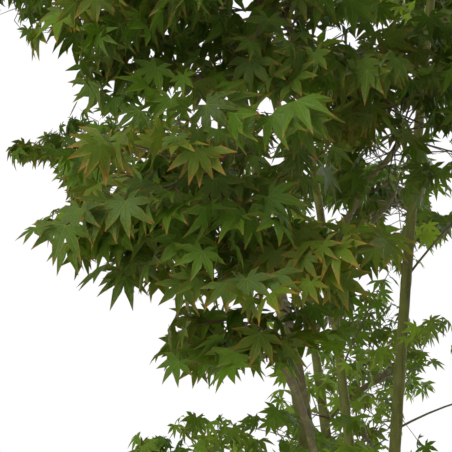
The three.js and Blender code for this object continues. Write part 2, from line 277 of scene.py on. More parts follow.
LEADER_ROOM = 0.0055  # and from a mass's stem to a limb,
LEADER_CHECK = 0.012  # which is looked at once in this length

# The lobes of a leaf: angle from the middle one, and length as a share of the leaf's
LOBES = ((-126, 0.50), (-84, 0.84), (-42, 0.97), (0, 1.0), (42, 0.97), (84, 0.84), (126, 0.50))
LOBE_TURN = 42
LOBE_NOTCH = 0.35
LOBE_WAIST = (0.50, 0.150)  # share of the way out, and half-width, where a lobe is widest
LOBE_SHOULDER = (0.76, 0.074)
LEAST_LOBE = 0.6  # a shorter lobe is made of fewer faces
LEAF_WELD = 0.004  # corners of a leaf that are nearer than this are one
UV_WIDTH = 0.22  # half-width of a lobe that fills the leaf's pattern from side to side

# What the photograph shows

VIEWPOINT = (-0.334, -2.52, 1.45)  # where the photograph looks from, along +Y
LENS = 95.6  # its focal length in millimetres
FILM_WIDTH = 36  # in millimetres, as the camera's is where it isn't given
PHOTO_PIXELS = 452  # how many it has across and down
FOCAL_PIXELS = PHOTO_PIXELS * LENS / FILM_WIDTH
GAP_SEARCH = 0.7  # how far from a leaf's middle gaps are looked for, in lengths of the leaf
LOBE_FOOT = 0.05  # how far in front of its foot the lobes part, in the same lengths
LOBE_PROBES = (0.5, 0.95)  # where along each lobe it is tested, as shares of the lobe


class SkyGap(NamedTuple):
    """A gap that the photograph shows in the crown: its middle across and down, its half-width and its
    half-height, in the photograph's pixels"""

    across: float
    down: float
    wide: float
    high: float

    def holds(self, across, down):
        return ((across - self.across) / self.wide) ** 2 + ((down - self.down) / self.high) ** 2 < 1

    def near(self, across, down, reach):
        return abs(across - self.across) < self.wide + reach and abs(down - self.down) < self.high + reach


SKY_GAPS = (
    SkyGap(236, 6, 5, 5),
    SkyGap(3, 27, 11, 20),
    SkyGap(165, 27, 4, 6),
    SkyGap(336, 27, 3, 4),
    SkyGap(203, 63, 4, 5),
    SkyGap(52, 70, 12, 16),
    SkyGap(113, 86, 5, 7),
    SkyGap(58, 107, 11, 11),
    SkyGap(162, 107, 4, 3),
    SkyGap(266, 106, 6, 6),
    SkyGap(245, 112, 4, 3),
    SkyGap(206, 117, 4, 4),
    SkyGap(38, 121, 22, 8),
    SkyGap(123, 122, 4, 4),
    SkyGap(416, 122, 7, 7),
    SkyGap(384, 130, 4, 4),
    SkyGap(310, 135, 4, 6),
    SkyGap(281, 137, 3, 4),
    SkyGap(442, 150, 9, 12),
    SkyGap(391, 152, 10, 10),
    SkyGap(368, 158, 5, 7),
    SkyGap(118, 166, 4, 6),
    SkyGap(50, 180, 10, 5),
    SkyGap(138, 185, 5, 3),
    SkyGap(114, 190, 7, 5),
    SkyGap(42, 197, 22, 12),
    SkyGap(444, 204, 11, 10),
    SkyGap(395, 222, 6, 12),
    SkyGap(30, 256, 11, 11),
    SkyGap(440, 292, 12, 18),
    SkyGap(163, 300, 11, 4),
    SkyGap(110, 316, 38, 15),
    SkyGap(152, 326, 14, 10),
    SkyGap(314, 362, 8, 8),
    SkyGap(146, 370, 8, 7),
    SkyGap(243, 388, 18, 7),
    SkyGap(190, 402, 22, 8),
    SkyGap(320, 416, 5, 5),
    SkyGap(414, 422, 6, 12),
)


def photo_place(place):
    """Where a place lies in the photograph, in pixels across and down"""
    scale = FOCAL_PIXELS / (place.y - VIEWPOINT[1])
    across = PHOTO_PIXELS / 2 + (place.x - VIEWPOINT[0]) * scale
    return across, PHOTO_PIXELS / 2 - (place.z - VIEWPOINT[2]) * scale


def gap_covered(foot, forward, side, size):
    """Whether any lobe of a leaf, at its foot, half-way or near its tip, lies in a sky gap"""
    across, down = photo_place(foot + forward * LEAF_MIDDLE * size)
    reach = GAP_SEARCH * size * FOCAL_PIXELS / (foot.y - VIEWPOINT[1])
    near = [gap for gap in SKY_GAPS if gap.near(across, down, reach)]
    if not near:
        return False
    places = [foot]
    for angle, share in LOBES:
        turn = math.radians(angle)
        way = (forward * math.cos(turn) + side * math.sin(turn)) * share * size
        places += [foot + forward * LOBE_FOOT * size + way * k for k in LOBE_PROBES]
    return any(gap.holds(*photo_place(place)) for place in places for gap in near)


class Branchlet(NamedTuple):
    """A slender branch that the photograph shows on a stem: how far up the stem, its compass angle, its
    angle from the stem, its length, and how many nodes at its foot are without leaves"""

    stem: str
    share: float
    heading: float
    spread: float
    length: float
    bare: int


BRANCHLETS = (
    Branchlet("leader", 0.24, -12, 54, 0.26, 3),
    Branchlet("leader", 0.285, 186, 18, 0.24, 3),
    Branchlet("leader", 0.385, -6, 30, 0.34, 3),
    Branchlet("left", 0.33, 20, 30, 0.24, 3),
    Branchlet("front_left", 0.325, 205, 58, 0.16, 0),
    Branchlet("front_left", 0.355, 195, 46, 0.20, 0),
    Branchlet("front_left", 0.38, 265, 45, 0.15, 0),
    Branchlet("front_left", 0.43, 290, 40, 0.15, 0),
    Branchlet("front_left", 0.375, 315, 62, 0.14, 0),
    Branchlet("front_left", 0.36, 236, 78, 0.17, 0),
)


class ShownTwig(NamedTuple):
    """A twig that the photograph shows in a mass: how far along the mass's stem it starts, and where it ends,
    in the photograph's pixels across and down and in metres ahead of the viewpoint"""

    mass: str
    share: float
    across: float
    down: float
    ahead: float

    def end(self):
        scale = self.ahead / FOCAL_PIXELS
        right, up = self.across - PHOTO_PIXELS / 2, PHOTO_PIXELS / 2 - self.down
        return Vector(VIEWPOINT) + Vector((right * scale, self.ahead, up * scale))


SHOWN_TWIGS = (
    ShownTwig("middle_1", 0.55, 62, 252, 1.76),
    ShownTwig("middle_1", 0.40, 90, 246, 1.78),
    ShownTwig("middle_2", 0.80, 40, 30, 1.76),
    ShownTwig("middle_2", 0.70, 75, 26, 1.80),
    ShownTwig("middle_3", 0.50, 180, 368, 1.72),
    ShownTwig("middle_3", 0.35, 210, 306, 1.72),
    ShownTwig("middle_3", 0.30, 325, 345, 1.74),
    ShownTwig("middle_7", 0.60, 444, 242, 3.20),
    ShownTwig("middle_8", 0.70, 12, 144, 3.25),
    ShownTwig("middle_10", 0.55, 432, 36, 2.12),
    ShownTwig("middle_10", 0.45, 424, 108, 2.20),
    ShownTwig("low_1", 0.80, 136, 438, 2.22),
)

# Growth

UP = Vector((0, 0, 1))
RIGHT = Vector((1, 0, 0))


def mix(a, b, share):
    return a + (b - a) * share


def smoothstep(value, low, high):
    share = min(max((value - low) / (high - low), 0), 1)
    return share * share * (3 - 2 * share)


def seeded(seed):
    """A row of random numbers from 0 to 1 that is the same on every run"""
    state = (seed * SEED_STEP + SEED_START) % DRAW_LIMIT

    def draw():
        nonlocal state
        state = state * DRAW_STEP % DRAW_LIMIT
        return state / DRAW_LIMIT

    return draw


def heading(degrees, rise=0.0):
    """The unit vector at a compass angle in plan and an angle above the level"""
    turn, lift = math.radians(degrees), math.radians(rise)
    return Vector((math.cos(turn) * math.cos(lift), math.sin(turn) * math.cos(lift), math.sin(lift)))


def turned(vector, axis, degrees):
    return Quaternion(axis, math.radians(degrees)) @ vector


def unit(vector, spare, least=0.1):
    """The vector at unit length, or the spare one where it is too short to point anywhere"""
    return vector.normalized() if vector.length > least else spare


def in_plan(vector):
    return Vector((vector.x, vector.y, 0))


class Knot(NamedTuple):
    """One point of a route"""

    place: Vector
    radius: float


class Spot(NamedTuple):
    """A point part way along a route"""

    place: Vector
    radius: float
    direction: Vector


def along(route, share):
    place = share * (len(route) - 1)
    k = min(int(place), len(route) - 2)
    here, there = route[k], route[k + 1]
    return Spot(
        here.place.lerp(there.place, place - k),
        mix(here.radius, there.radius, place - k),
        (there.place - here.place).normalized(),
    )


def bezier(start, bend, end, steps):
    shares = [k / steps for k in range(steps + 1)]
    return [start * (1 - t) ** 2 + bend * (2 * t * (1 - t)) + end * t**2 for t in shares]


def smooth_route(route, step=RING_STEP):
    """The same route as a smooth curve through its points, with a ring every step"""
    made = []
    for k in range(len(route) - 1):
        a, b = route[max(k - 1, 0)].place, route[k].place
        c, d = route[k + 1].place, route[min(k + 2, len(route) - 1)].place
        count = max(round((c - b).length / step), 1)
        for i in range(count):
            t = i / count
            curve = 2 * b + (c - a) * t + (2 * a - 5 * b + 4 * c - d) * t**2 + (3 * b - a - 3 * c + d) * t**3
            made.append(Knot(curve / 2, mix(route[k].radius, route[k + 1].radius, t)))
    return made + [route[-1]]


def stem_route(stem):
    start = heading(stem.heading) * stem.ring
    place = Vector((start.x + FORK_OFFSET[0], start.y + FORK_OFFSET[1], FORK_HEIGHT - STEM_SINK))
    route = []
    for k in range(STEM_STEPS + 1):
        share = k / STEM_STEPS
        route.append(Knot(place.copy(), stem.radius * mix(1, STEM_TIP_SHARE, share**STEM_TAPER)))
        lean = mix(stem.foot_lean, stem.tip_lean, share)
        waver = STEM_WAVER * math.sin(STEM_WAVES * share + stem.heading)
        place += heading(stem.heading + waver, 90 - lean) * (stem.length / STEM_STEPS)
    return route


class Mass:
    """One mass of foliage: its middle, half-width, the limb that ends in it, and the space it keeps to"""

    def __init__(self, name, centre, reach, entry, out, climb=0.0):
        self.name = name
        self.centre = centre
        self.reach = reach
        self.entry = entry
        self.out = out
        self.climb = climb
        self.middle = stretched(centre)
        self.low = centre.z < LOW_CROWN
        self.direction = out
        self.limb = []
        self.planes = []
        self.stem = []

    def take_limb(self, route):
        self.limb = route
        self.direction = along(route, 1).direction

    def bound(self, masses):
        """The space ends where a neighbour's begins"""
        for other in masses:
            normal = other.middle - self.middle
            if other is not self and normal.length < other.reach + self.reach:
                limit = other.middle.length_squared - self.middle.length_squared - other.reach**2
                limit += self.reach**2
                self.planes.append((normal, limit / 2 - CELL_GAP * normal.length))

    def holds(self, point, slack=0.0):
        p = stretched(point)
        if (p - self.middle).length > self.reach + slack:
            return False
        return all(normal.dot(p) <= limit + slack * normal.length for normal, limit in self.planes)

    def room(self, point, direction):
        """How far a straight line can go from a point before it leaves the space"""
        p, d = stretched(point), stretched(direction)
        start = p - self.middle
        half = start.dot(d) / d.length_squared
        rest = (self.reach**2 - start.length_squared) / d.length_squared
        far = math.sqrt(half**2 + rest) - half if half**2 + rest > 0 else 0
        for normal, limit in self.planes:
            speed = normal.dot(d)
            if speed > 0:
                far = min(far, (limit - normal.dot(p)) / speed)
        return max(far, 0)


class OpenSpace:
    """The space round the bare stretch of a stem"""

    low = True

    @staticmethod
    def holds(_point, _slack=0.0):
        return True


def stretched(p):
    """Heights are stretched so that a mass's flat space is a ball cut by planes"""
    return Vector((p.x, p.y, p.z * FLATNESS))


def tier_masses(tier):
    made = []
    for k, (turn, distance, height, reach) in enumerate(tier.places):
        out = heading(turn)
        centre = out * distance + UP * height
        entry = centre - out * ENTRY * reach - UP * ENTRY_DROP * reach / FLATNESS
        made.append(Mass(f"{tier.name}_{k + 1}", centre, reach, entry, out, tier.climb))
    return made


def tip_mass(stem, route):
    end = along(route, 1)
    centre = end.place + end.direction * ENTRY * TIP_REACH / FLATNESS
    mass = Mass(f"tip_{stem.name}", centre, TIP_REACH, end.place, end.direction)
    mass.take_limb(route)
    return mass


def bough_route(mass, routes):
    """From the stem that lets it climb most evenly, up and out to its mass"""
    starts = [along(route, FIRST_START + START_STEP * k) for route in routes for k in range(BOUGH_STARTS)]

    def cost(spot):
        run = math.hypot(mass.entry.x - spot.place.x, mass.entry.y - spot.place.y)
        uneven = abs(mass.entry.z - spot.place.z - mass.climb * run)
        return run + UNEVEN_CLIMB * uneven - THICK_STEM * spot.radius

    start = min(starts, key=cost)
    bend = start.place.lerp(mass.entry, BOUGH_BEND)
    bend.z = mix(start.place.z, mass.entry.z, BOUGH_BEND_RISE)
    points = bezier(start.place, bend, mass.entry, BOUGH_STEPS)
    return [
        Knot(point, mix(BOUGH_SHARE * start.radius, BOUGH_TIP_RADIUS, k / BOUGH_STEPS))
        for k, point in enumerate(points)
    ]


class Limbs:
    """The solid trunk, stems and boughs, which foliage keeps clear of"""

    def __init__(self, nodes):
        corners, faces = [], []
        for node in nodes:
            first = len(corners)
            corners += [v.co for v in node.data.vertices]
            faces += [[first + i for i in face.vertices] for face in node.data.polygons]
        self.tree = BVHTree.FromPolygons(corners, faces)

    def clear(self, point, distance):
        return self.tree.find_nearest(point, distance)[0] is None


def mass_stem(mass, limbs):
    """It goes on from its limb, through the middle and on towards the far side, and where a limb is in its
    way it is turned aside or cut short"""
    start = mass.entry + mass.direction * GAP
    neck = start + mass.direction * LEADER_NECK
    through = mass.centre - start
    radius = min(LEADER_RADIUS, mass.limb[-1].radius)
    for reach in LEADER_REACHES:
        for turn in LEADER_TURNS:
            ahead = turned(through, UP, turn)
            middle = start + ahead
            ahead.normalize()
            bend = start + mass.direction * LEADER_BEND * through.length
            end = middle + ahead * reach * mass.room(middle, ahead)
            points = [start, *bezier(neck, bend, end, LEADER_STEPS)]
            shares = [max(k - 1, 0) / LEADER_STEPS for k in range(len(points))]
            route = [Knot(p, mix(radius, LEADER_TIP_RADIUS, share)) for p, share in zip(points, shares)]
            checked = smooth_route(route[1:], LEADER_CHECK)
            held = all(mass.holds(point) for point in points[1:])
            if held and all(limbs.clear(knot.place, LEADER_ROOM) for knot in checked):
                return route
    raise RuntimeError(f"no clear way for the stem of {mass.name}")


def leaving(stem, out, degrees):
    """The direction at an angle to a stem, on the side that out points to"""
    across = (out - stem * out.dot(stem)).normalized()
    return stem * math.cos(math.radians(degrees)) + across * math.sin(math.radians(degrees))


def twig_starts(mass, draw):
    """One twig at the end of the mass's stem, and pairs along it, each turned about the stem"""
    end = along(mass.stem, LAST_TWIG)
    made = [(end, end.direction, 1)]
    neck_end = 1 / (LEADER_STEPS + 1)
    for k in range(LEADER_STATIONS):
        spot = along(mass.stem, mix(neck_end, 1, (k + 0.5) / LEADER_STATIONS))
        aside = unit(UP.cross(spot.direction), mass.out.cross(spot.direction).normalized())
        turn = PAIR_TURN * k + PAIR_TURN_SCATTER * (draw() - 0.5)
        for side in (0, 180):
            out = turned(aside, spot.direction, turn + side)
            direction = leaving(spot.direction, out, TWIG_ANGLE + TWIG_ANGLE_SCATTER * (draw() - 0.5))
            made.append((spot, direction, TWIG_SHARES[k % len(TWIG_SHARES)]))
    return made


def boxed(middle, reach):
    """Whether a leaf with this middle and reach stays in the solids' box, give or take a little"""
    low, high = CAD_BOX
    return all(a - BOX_ROOM < c - reach and c + reach < b + BOX_ROOM for a, b, c in zip(low, high, middle))


class Leaf(NamedTuple):
    foot: Vector
    turn: Quaternion
    size: float
    shape: int


class Crown:
    """All that grows out of the masses' stems"""

    def __init__(self, settings, limbs):
        self.settings = settings
        self.limbs = limbs
        self.twigs = []
        self.stalks = []
        self.leaves = defaultdict(list)
        self.taken = defaultdict(list)

    def grow(self, mass, draw):
        for spot, direction, share in twig_starts(mass, draw):
            hang = self.settings.leaf_length * mix(*LEAF_HANG, max(direction.z, 0))
            length = EDGE * share * mass.room(spot.place, direction) - hang
            if length > SHORTEST_TWIG:
                self.grow_twig(mass, spot, direction, length, draw)

    def grow_on_stem(self, route, masses, draw):
        """Small leafy twigs all round the stretch of a stem that no mass of foliage holds"""
        for k in range(SIDE_TWIGS):
            spot = along(route, mix(*SIDE_TWIG_STRETCH, k / (SIDE_TWIGS - 1)))
            out = heading(SIDE_TWIG_TURN * k + SIDE_TWIG_SCATTER * draw())
            length = mix(*SIDE_TWIG_LENGTHS, draw())
            if not any(mass.holds(spot.place + out * length / 2) for mass in masses):
                way = leaving(spot.direction, out, SIDE_TWIG_ANGLE)
                self.grow_shoot(OpenSpace, spot.place, way, length, self.deal_tint(OpenSpace, draw), draw)

    def grow_branchlet(self, branchlet, route, draw):
        spot = along(route, branchlet.share)
        way = leaving(spot.direction, heading(branchlet.heading), branchlet.spread)
        tint = self.deal_tint(OpenSpace, draw)
        radii = BRANCHLET_RADII if branchlet.bare else SHOOT_RADII
        self.grow_shoot(OpenSpace, spot.place, way, branchlet.length, tint, draw, radii, branchlet.bare)

    def grow_shown(self, twig, mass, draw):
        """It is aimed above its end, because it sags"""
        spot = along(mass.stem, twig.share)
        way = twig.end() - spot.place
        way += UP * 0.5 * self.settings.twig_sag * way.length_squared
        self.grow_twig(mass, spot, way.normalized(), way.length, draw)

    def lets_twig(self, mass, place):
        return mass.holds(place) and self.limbs.clear(place, TWIG_ROOM)

    @staticmethod
    def deal_tint(mass, draw):
        pick = draw()
        for tint in TINTS:
            # in the low crown the shares lean to the lighter tints, as painted light that brightens it
            pick -= tint.low_share_painted_light if mass.low else tint.share
            if pick < 0:
                return tint.name
        return TINTS[0].name

    def grow_twig(self, mass, spot, direction, length, draw):
        """A twig that sags, with a pair of side shoots or leaves at each node and two leaves at its end"""
        tint = self.deal_tint(mass, draw)
        count = max(round(length / self.settings.internode), 1)
        place, ahead = spot.place.copy(), direction.copy()
        thick = min(TWIG_RADII[0], spot.radius * TWIG_FOOT_SHARE)
        route = [Knot(place.copy(), thick)]
        sag = self.settings.twig_sag * length / count
        leafy = 0
        for k in range(1, count + 1):
            sway = TWIG_SWAY * (draw() - 0.5)
            ahead = (ahead - UP * sag + UP.cross(ahead) * sway).normalized()
            next_place = place + ahead * (length / count)
            if not self.lets_twig(mass, next_place):
                break
            place = next_place
            route.append(Knot(place.copy(), mix(thick, TWIG_RADII[1], k / count)))
            rest = length * (1 - k / count)
            before = len(self.stalks)
            for side in (-1, 1):
                shoot = min(SHOOT_SHARE * rest + SHOOT_BASE, LONGEST_SHOOT) * mix(*SHOOT_SCATTER, draw())
                out = self.level_side(ahead, side) + UP * SHOOT_TILT * (draw() - SHOOT_TILT_DOWN)
                way = leaving(ahead, out, mix(*SHOOT_ANGLES, draw()))
                if k < count and shoot > LEAST_SHOOT * self.settings.internode:
                    self.grow_shoot(mass, place, way, shoot, tint, draw)
                else:
                    self.add_leaf(mass, place, way, tint, draw)
            if len(self.stalks) > before:
                leafy = k
        self.end_twig(mass, route, leafy, ahead, tint, draw)

    def grow_shoot(self, mass, root, direction, length, tint, draw, radii=SHOOT_RADII, bare=0):
        if draw() < ODD_SHOOTS:
            tint = self.deal_tint(mass, draw)
        count = max(round(length / (SHOOT_INTERNODE * self.settings.internode)), 1)
        place, ahead = root.copy(), direction.copy()
        route = [Knot(place.copy(), radii[0])]
        leafy = 0
        for k in range(1, count + 1):
            ahead = (ahead - UP * self.settings.twig_sag * SHOOT_SAG * length / count).normalized()
            next_place = place + ahead * (length / count)
            if not self.lets_twig(mass, next_place):
                break
            place = next_place
            route.append(Knot(place.copy(), mix(*radii, k / count)))
            before = len(self.stalks)
            for side in (-1, 1) if k > bare else ():
                out = self.level_side(ahead, side) + UP * LEAF_TILT * (draw() - LEAF_TILT_DOWN)
                self.add_leaf(mass, place, leaving(ahead, out, mix(*LEAF_ANGLES, draw())), tint, draw)
            if len(self.stalks) > before:
                leafy = k
        self.end_twig(mass, route, leafy, ahead, tint, draw)

    def end_twig(self, mass, route, leafy, ahead, tint, draw):
        """Two leaves at the end of a twig, which is cut back to its last leafy node if they find no room"""
        before = len(self.stalks)
        if len(route) > 1:
            for side in (-1, 1):
                way = leaving(ahead, self.level_side(ahead, side), mix(*END_LEAF_ANGLES, draw()))
                self.add_leaf(mass, route[-1].place, way, tint, draw)
        kept = route if len(self.stalks) > before else route[: leafy + 1]
        if len(kept) > 1:
            self.twigs.append(kept)

    @staticmethod
    def level_side(ahead, side):
        return unit(ahead.cross(UP), RIGHT) * side

    def add_leaf(self, mass, node, way, tint, draw):
        """A leaf on its stalk, with its upper face up and outwards and its middle lobe hanging"""
        s = self.settings
        size = s.leaf_length * mix(*LEAF_SIZES, draw() ** LEAF_SIZE_LEAN)
        size *= LOW_LEAF_SHARE if mass.low else 1
        stalk = STALK_LENGTH * mix(*STALK_SCATTER, draw())
        foot = node + (way + UP * STALK_RISE).normalized() * stalk
        outward = unit(in_plan(foot), RIGHT, AXIS_ROOM)
        flat = in_plan(way).normalized() + outward * LEAF_OUTWARD + heading(360 * draw()) * LEAF_CHANCE
        flat = unit(flat, outward)
        droop = s.leaf_droop + s.leaf_scatter * (draw() - 0.5)
        forward = flat * math.cos(droop) - UP * math.sin(droop)
        side = turned(flat.cross(UP), forward, LEAF_ROLL * (draw() - 0.5))
        face = side.cross(forward)
        shape = int(draw() * len(LEAF_SHAPES))
        middle, tip = foot + forward * size * LEAF_MIDDLE, foot + forward * size
        if not (mass.holds(foot) and mass.holds(tip, LEAF_OVERHANG)):
            return
        if not all(self.limbs.clear(p, LIMB_ROOM) for p in (foot, middle, tip)):
            return
        if gap_covered(foot, forward, side, size):
            return
        if not boxed(middle, LEAF_REACH * size) or self.crowded(middle):
            return
        turn = Matrix((side, forward, face)).transposed().to_quaternion()
        self.leaves[tint].append(Leaf(foot, turn, size, shape))
        self.stalks.append((node, foot))

    def crowded(self, middle):
        """Whether another leaf's middle is too near; if not, this one's is noted"""
        home = [math.floor(c / LEAF_ROOM) for c in middle]
        for shift in product((-1, 0, 1), repeat=3):
            cell = tuple(a + b for a, b in zip(home, shift))
            if any((other - middle).length < LEAF_ROOM for other in self.taken.get(cell, ())):
                return True
        self.taken[tuple(home)].append(middle)
        return False


class Plant(NamedTuple):
    """The stems' routes by name, the masses of foliage, and the crown that grows out of them"""

    routes: dict
    masses: list
    crown: Crown


@lru_cache(maxsize=1)
def grown():
    """The whole plant, which is worked out once"""
    settings = bpy.context.scene.maple_crown
    routes = {stem.name: stem_route(stem) for stem in STEMS}
    masses = [mass for tier in TIERS for mass in tier_masses(tier)]
    for mass in masses:
        mass.take_limb(bough_route(mass, list(routes.values())))
    masses += [tip_mass(stem, routes[stem.name]) for stem in STEMS]
    limbs = Limbs([node for name, node in frame["nodes"].items() if not name.startswith("foliage_")])
    crown = Crown(settings, limbs)
    for mass in masses:
        mass.bound(masses)
    for k, mass in enumerate(masses):
        mass.stem = mass_stem(mass, limbs)
        crown.grow(mass, seeded(SEED + MASS_SEEDS * (k + 1)))
    for k, route in enumerate(routes.values()):
        crown.grow_on_stem(route, masses, seeded(SEED + SIDE_TWIG_SEEDS * (k + 1)))
    for k, branchlet in enumerate(BRANCHLETS):
        draw = seeded(SEED + BRANCHLET_SEEDS * (k + 1))
        crown.grow_branchlet(branchlet, routes[branchlet.stem], draw)
    by_name = {mass.name: mass for mass in masses}
    for k, twig in enumerate(SHOWN_TWIGS):
        crown.grow_shown(twig, by_name[twig.mass], seeded(SEED + SHOWN_TWIG_SEEDS * (k + 1)))
    return Plant(routes, masses, crown)


# Nodes


class Wire:
    """A socket that carries a number, on which Python's operators add Math nodes"""

    def __init__(self, graph, socket):
        self.graph = graph
        self.socket = socket

    def __add__(self, other):
        return self.graph.maths("ADD", self, other)

    def __mul__(self, other):
        return self.graph.maths("MULTIPLY", self, other)

    def __sub__(self, other):
        return self.graph.maths("SUBTRACT", self, other)

    def __rsub__(self, other):
        return self.graph.maths("SUBTRACT", other, self)

    def __truediv__(self, other):
        return self.graph.maths("DIVIDE", self, other)

    def __abs__(self):
        return self.graph.maths("ABSOLUTE", self)

    __radd__ = __add__
    __rmul__ = __mul__


class Graph:
    """A node tree; node adds any kind to it, and the other methods are short ways to the common ones"""

    def __init__(self, tree):
        self.tree = tree

    def node(self, kind, settings=None, sockets=None):
        made = self.tree.nodes.new(kind)
        for name, value in (settings or {}).items():
            if name == "stops":
                self.set_stops(made.color_ramp, value)
            else:
                setattr(made, name, value)
        for name, value in (sockets or {}).items():
            value = value.socket if isinstance(value, Wire) else value
            if isinstance(value, bpy.types.NodeSocket):
                self.tree.links.new(value, made.inputs[name])
            else:
                made.inputs[name].default_value = value
        return made

    def out(self, kind, sockets, settings=None):
        """A new node's first output"""
        return self.node(kind, settings, sockets).outputs[0]

    @staticmethod
    def set_stops(ramp, stops):
        while len(ramp.elements) < len(stops):
            ramp.elements.new(0.5)
        for element, (place, value) in zip(ramp.elements, stops):
            element.position = place
            element.color = (value, value, value, 1)

    def maths(self, operation, *values):
        return Wire(self, self.out("ShaderNodeMath", dict(enumerate(values)), {"operation": operation}))

    def ease(self, value, low, high):
        """0 below low, 1 above high and smooth between; high may be the lower of the two"""
        sockets = {"Value": value, "From Min": low, "From Max": high}
        return Wire(self, self.out("ShaderNodeMapRange", sockets, {"interpolation_type": "SMOOTHSTEP"}))

    def blend(self, share, first, second):
        """Two colours mixed by a share"""
        sockets = {0: share, 6: first, 7: second}
        return self.node("ShaderNodeMix", {"data_type": "RGBA"}, sockets).outputs[2]

    def stretch(self, place, scale):
        return self.out("ShaderNodeMapping", {"Vector": place, "Scale": scale})

    def height(self, place):
        return Wire(self, self.node("ShaderNodeSeparateXYZ", None, {0: place}).outputs["Z"])

    def bump(self, height, strength, depth, invert=False):
        sockets = {"Strength": strength, "Distance": depth, "Height": height}
        return self.out("ShaderNodeBump", sockets, {"invert": invert})

    def skin(self, colour, rough, shine, normal=None):
        """A plain surface of a colour, how rough and how shiny it is, and its relief"""
        sockets = {"Base Color": colour, "Roughness": rough, "Specular IOR Level": shine}
        if normal is not None:
            sockets["Normal"] = normal
        return self.out("ShaderNodeBsdfPrincipled", sockets)

    def cover(self, shader):
        self.node("ShaderNodeOutputMaterial", None, {"Surface": shader})

    def noise(self, place, scale, detail, rough=0.55):
        sockets = {"Vector": place, "Scale": scale, "Detail": detail, "Roughness": rough}
        return Wire(self, self.out("ShaderNodeTexNoise", sockets))


def new_material(name):
    made = bpy.data.materials.new(name)
    made.use_nodes = True
    made.node_tree.nodes.clear()
    return made, Graph(made.node_tree)


def opaque(colour, share=1.0):
    return tuple(c * share for c in colour) + (1.0,)


# Materials


class Pattern(NamedTuple):
    """A noise that colours wood: how it is stretched, how fine and how detailed it is, between which of
    its values it comes in, how strongly, and in which tone"""

    stretch: tuple
    fineness: float
    detail: float
    shows: tuple
    strength: float
    tone: str


BARK_PATTERNS = {
    "streak": Pattern((1, 1, 0.16), 210, 4, (0.40, 0.70), 0.40, "dark"),
    "patch": Pattern((1, 1, 1), 22, 3, (0.46, 0.70), 0.50, "pale"),
    "blotch": Pattern((1, 1, 0.16), 44, 3, (0.50, 0.66), 0.70, "dark"),
    "speck": Pattern((0.5, 0.5, 2.2), 300, 2, (0.56, 0.66), 0.45, "pale"),
}
TWIG_PATTERNS = {
    "patch": Pattern((1, 1, 1), 18, 2, (0.42, 0.62), 1, "green"),
    "speck": Pattern((1, 1, 1), 420, 2, (0.35, 0.70), 0.35, "dark"),
}
OLD_BARK = (0.25, 0.95)  # heights at which the bark is wholly and not at all grey
OLD_BARK_SHARE = 0.55
BARK_ROUGHNESS = (0.6, 0.2)  # the least, and how much rougher the patches are
BARK_SHINE = 0.15
BARK_RELIEF = (0.55, 0.0016)  # how strong and how deep the shaded relief is
TWIG_FINISH = (0.5, 0.4)  # how rough and how shiny
TWIG_DARK = 0.5

LEAF_TONES = (0.62, 1.3)  # from the darkest to the lightest leaf, as shares of its tint
MOTTLE_STRETCH = (6, 2, 1)
MOTTLE_NOISE = (5, 4, 0.7)  # how fine, how detailed and how rough
MOTTLE_SHARE = 0.4
MIDRIB_WIDTH = 0.09  # as a share of the way from the middle of a lobe to its side
RIB_SLANT = 0.32
RIB_WAVES = 62  # in radians along a lobe, which makes ten pairs of side veins
RIB_SHARE = 0.5
VEIN_SHARE = 0.65
VEIN_RELIEF = (0.6, 0.0012)
LEAF_SHINE = 0.16
RIM_SPARE = 0.04  # keeps the rim's share from growing endless at a lobe's tip
RUST_RIM = (0.66, 1.02)  # shares of a lobe's half-width between which rust comes in
RUST_REACH = 0.4  # how far from its tip a wholly rusty lobe starts to turn, as a share of its length
RUST_SHARES = (0.6, 0.5)  # the least, and how much more on the lightest leaves
LIGHT_THROUGH = (2.2, 2.0, 1.1)  # how the blade's colour brightens in the light that passes it


def patterned(graph, place, patterns, scale, base, tones):
    """The base colour with each pattern laid over it in its tone, and the noises of the patterns"""
    colour, noises = opaque(base), {}
    for name, pattern in patterns.items():
        noise = graph.noise(graph.stretch(place, pattern.stretch), pattern.fineness * scale, pattern.detail)
        shown = graph.ease(noise, *pattern.shows) * pattern.strength
        colour = graph.blend(shown, colour, tones[pattern.tone])
        noises[name] = noise
    return colour, noises


def bark_material(name, base, wood, scale):
    """Smooth bark: upright streaks, pale patches and fine cracks, greyer towards the ground"""
    made, graph = new_material(name)
    place = graph.node("ShaderNodeTexCoord").outputs["Object"]
    tones = {"dark": opaque(wood.bark_dark), "pale": opaque(wood.bark_pale)}
    colour, noises = patterned(graph, place, BARK_PATTERNS, scale, base, tones)
    aged = graph.ease(graph.height(place), OLD_BARK[1], OLD_BARK[0]) * OLD_BARK_SHARE
    colour = graph.blend(aged, colour, opaque(wood.old_bark))
    least, more = BARK_ROUGHNESS
    rough = graph.ease(noises["patch"], 0.3, 0.8) * more + least
    cracks = graph.bump(noises["streak"] * 0.6 + noises["speck"] * 0.4, *BARK_RELIEF)
    graph.cover(graph.skin(colour, rough, BARK_SHINE, cracks))
    return made


def twig_material(name, base, green):
    """Young wood: red-brown with fine dark specks, and green in patches at random, as a twig is greener where
    the light reaches it
    """
    made, graph = new_material(name)
    place = graph.node("ShaderNodeTexCoord").outputs["Object"]
    tones = {"green": opaque(green), "dark": opaque(base, TWIG_DARK)}
    colour, _ = patterned(graph, place, TWIG_PATTERNS, 1, base, tones)
    graph.cover(graph.skin(colour, *TWIG_FINISH))
    return made


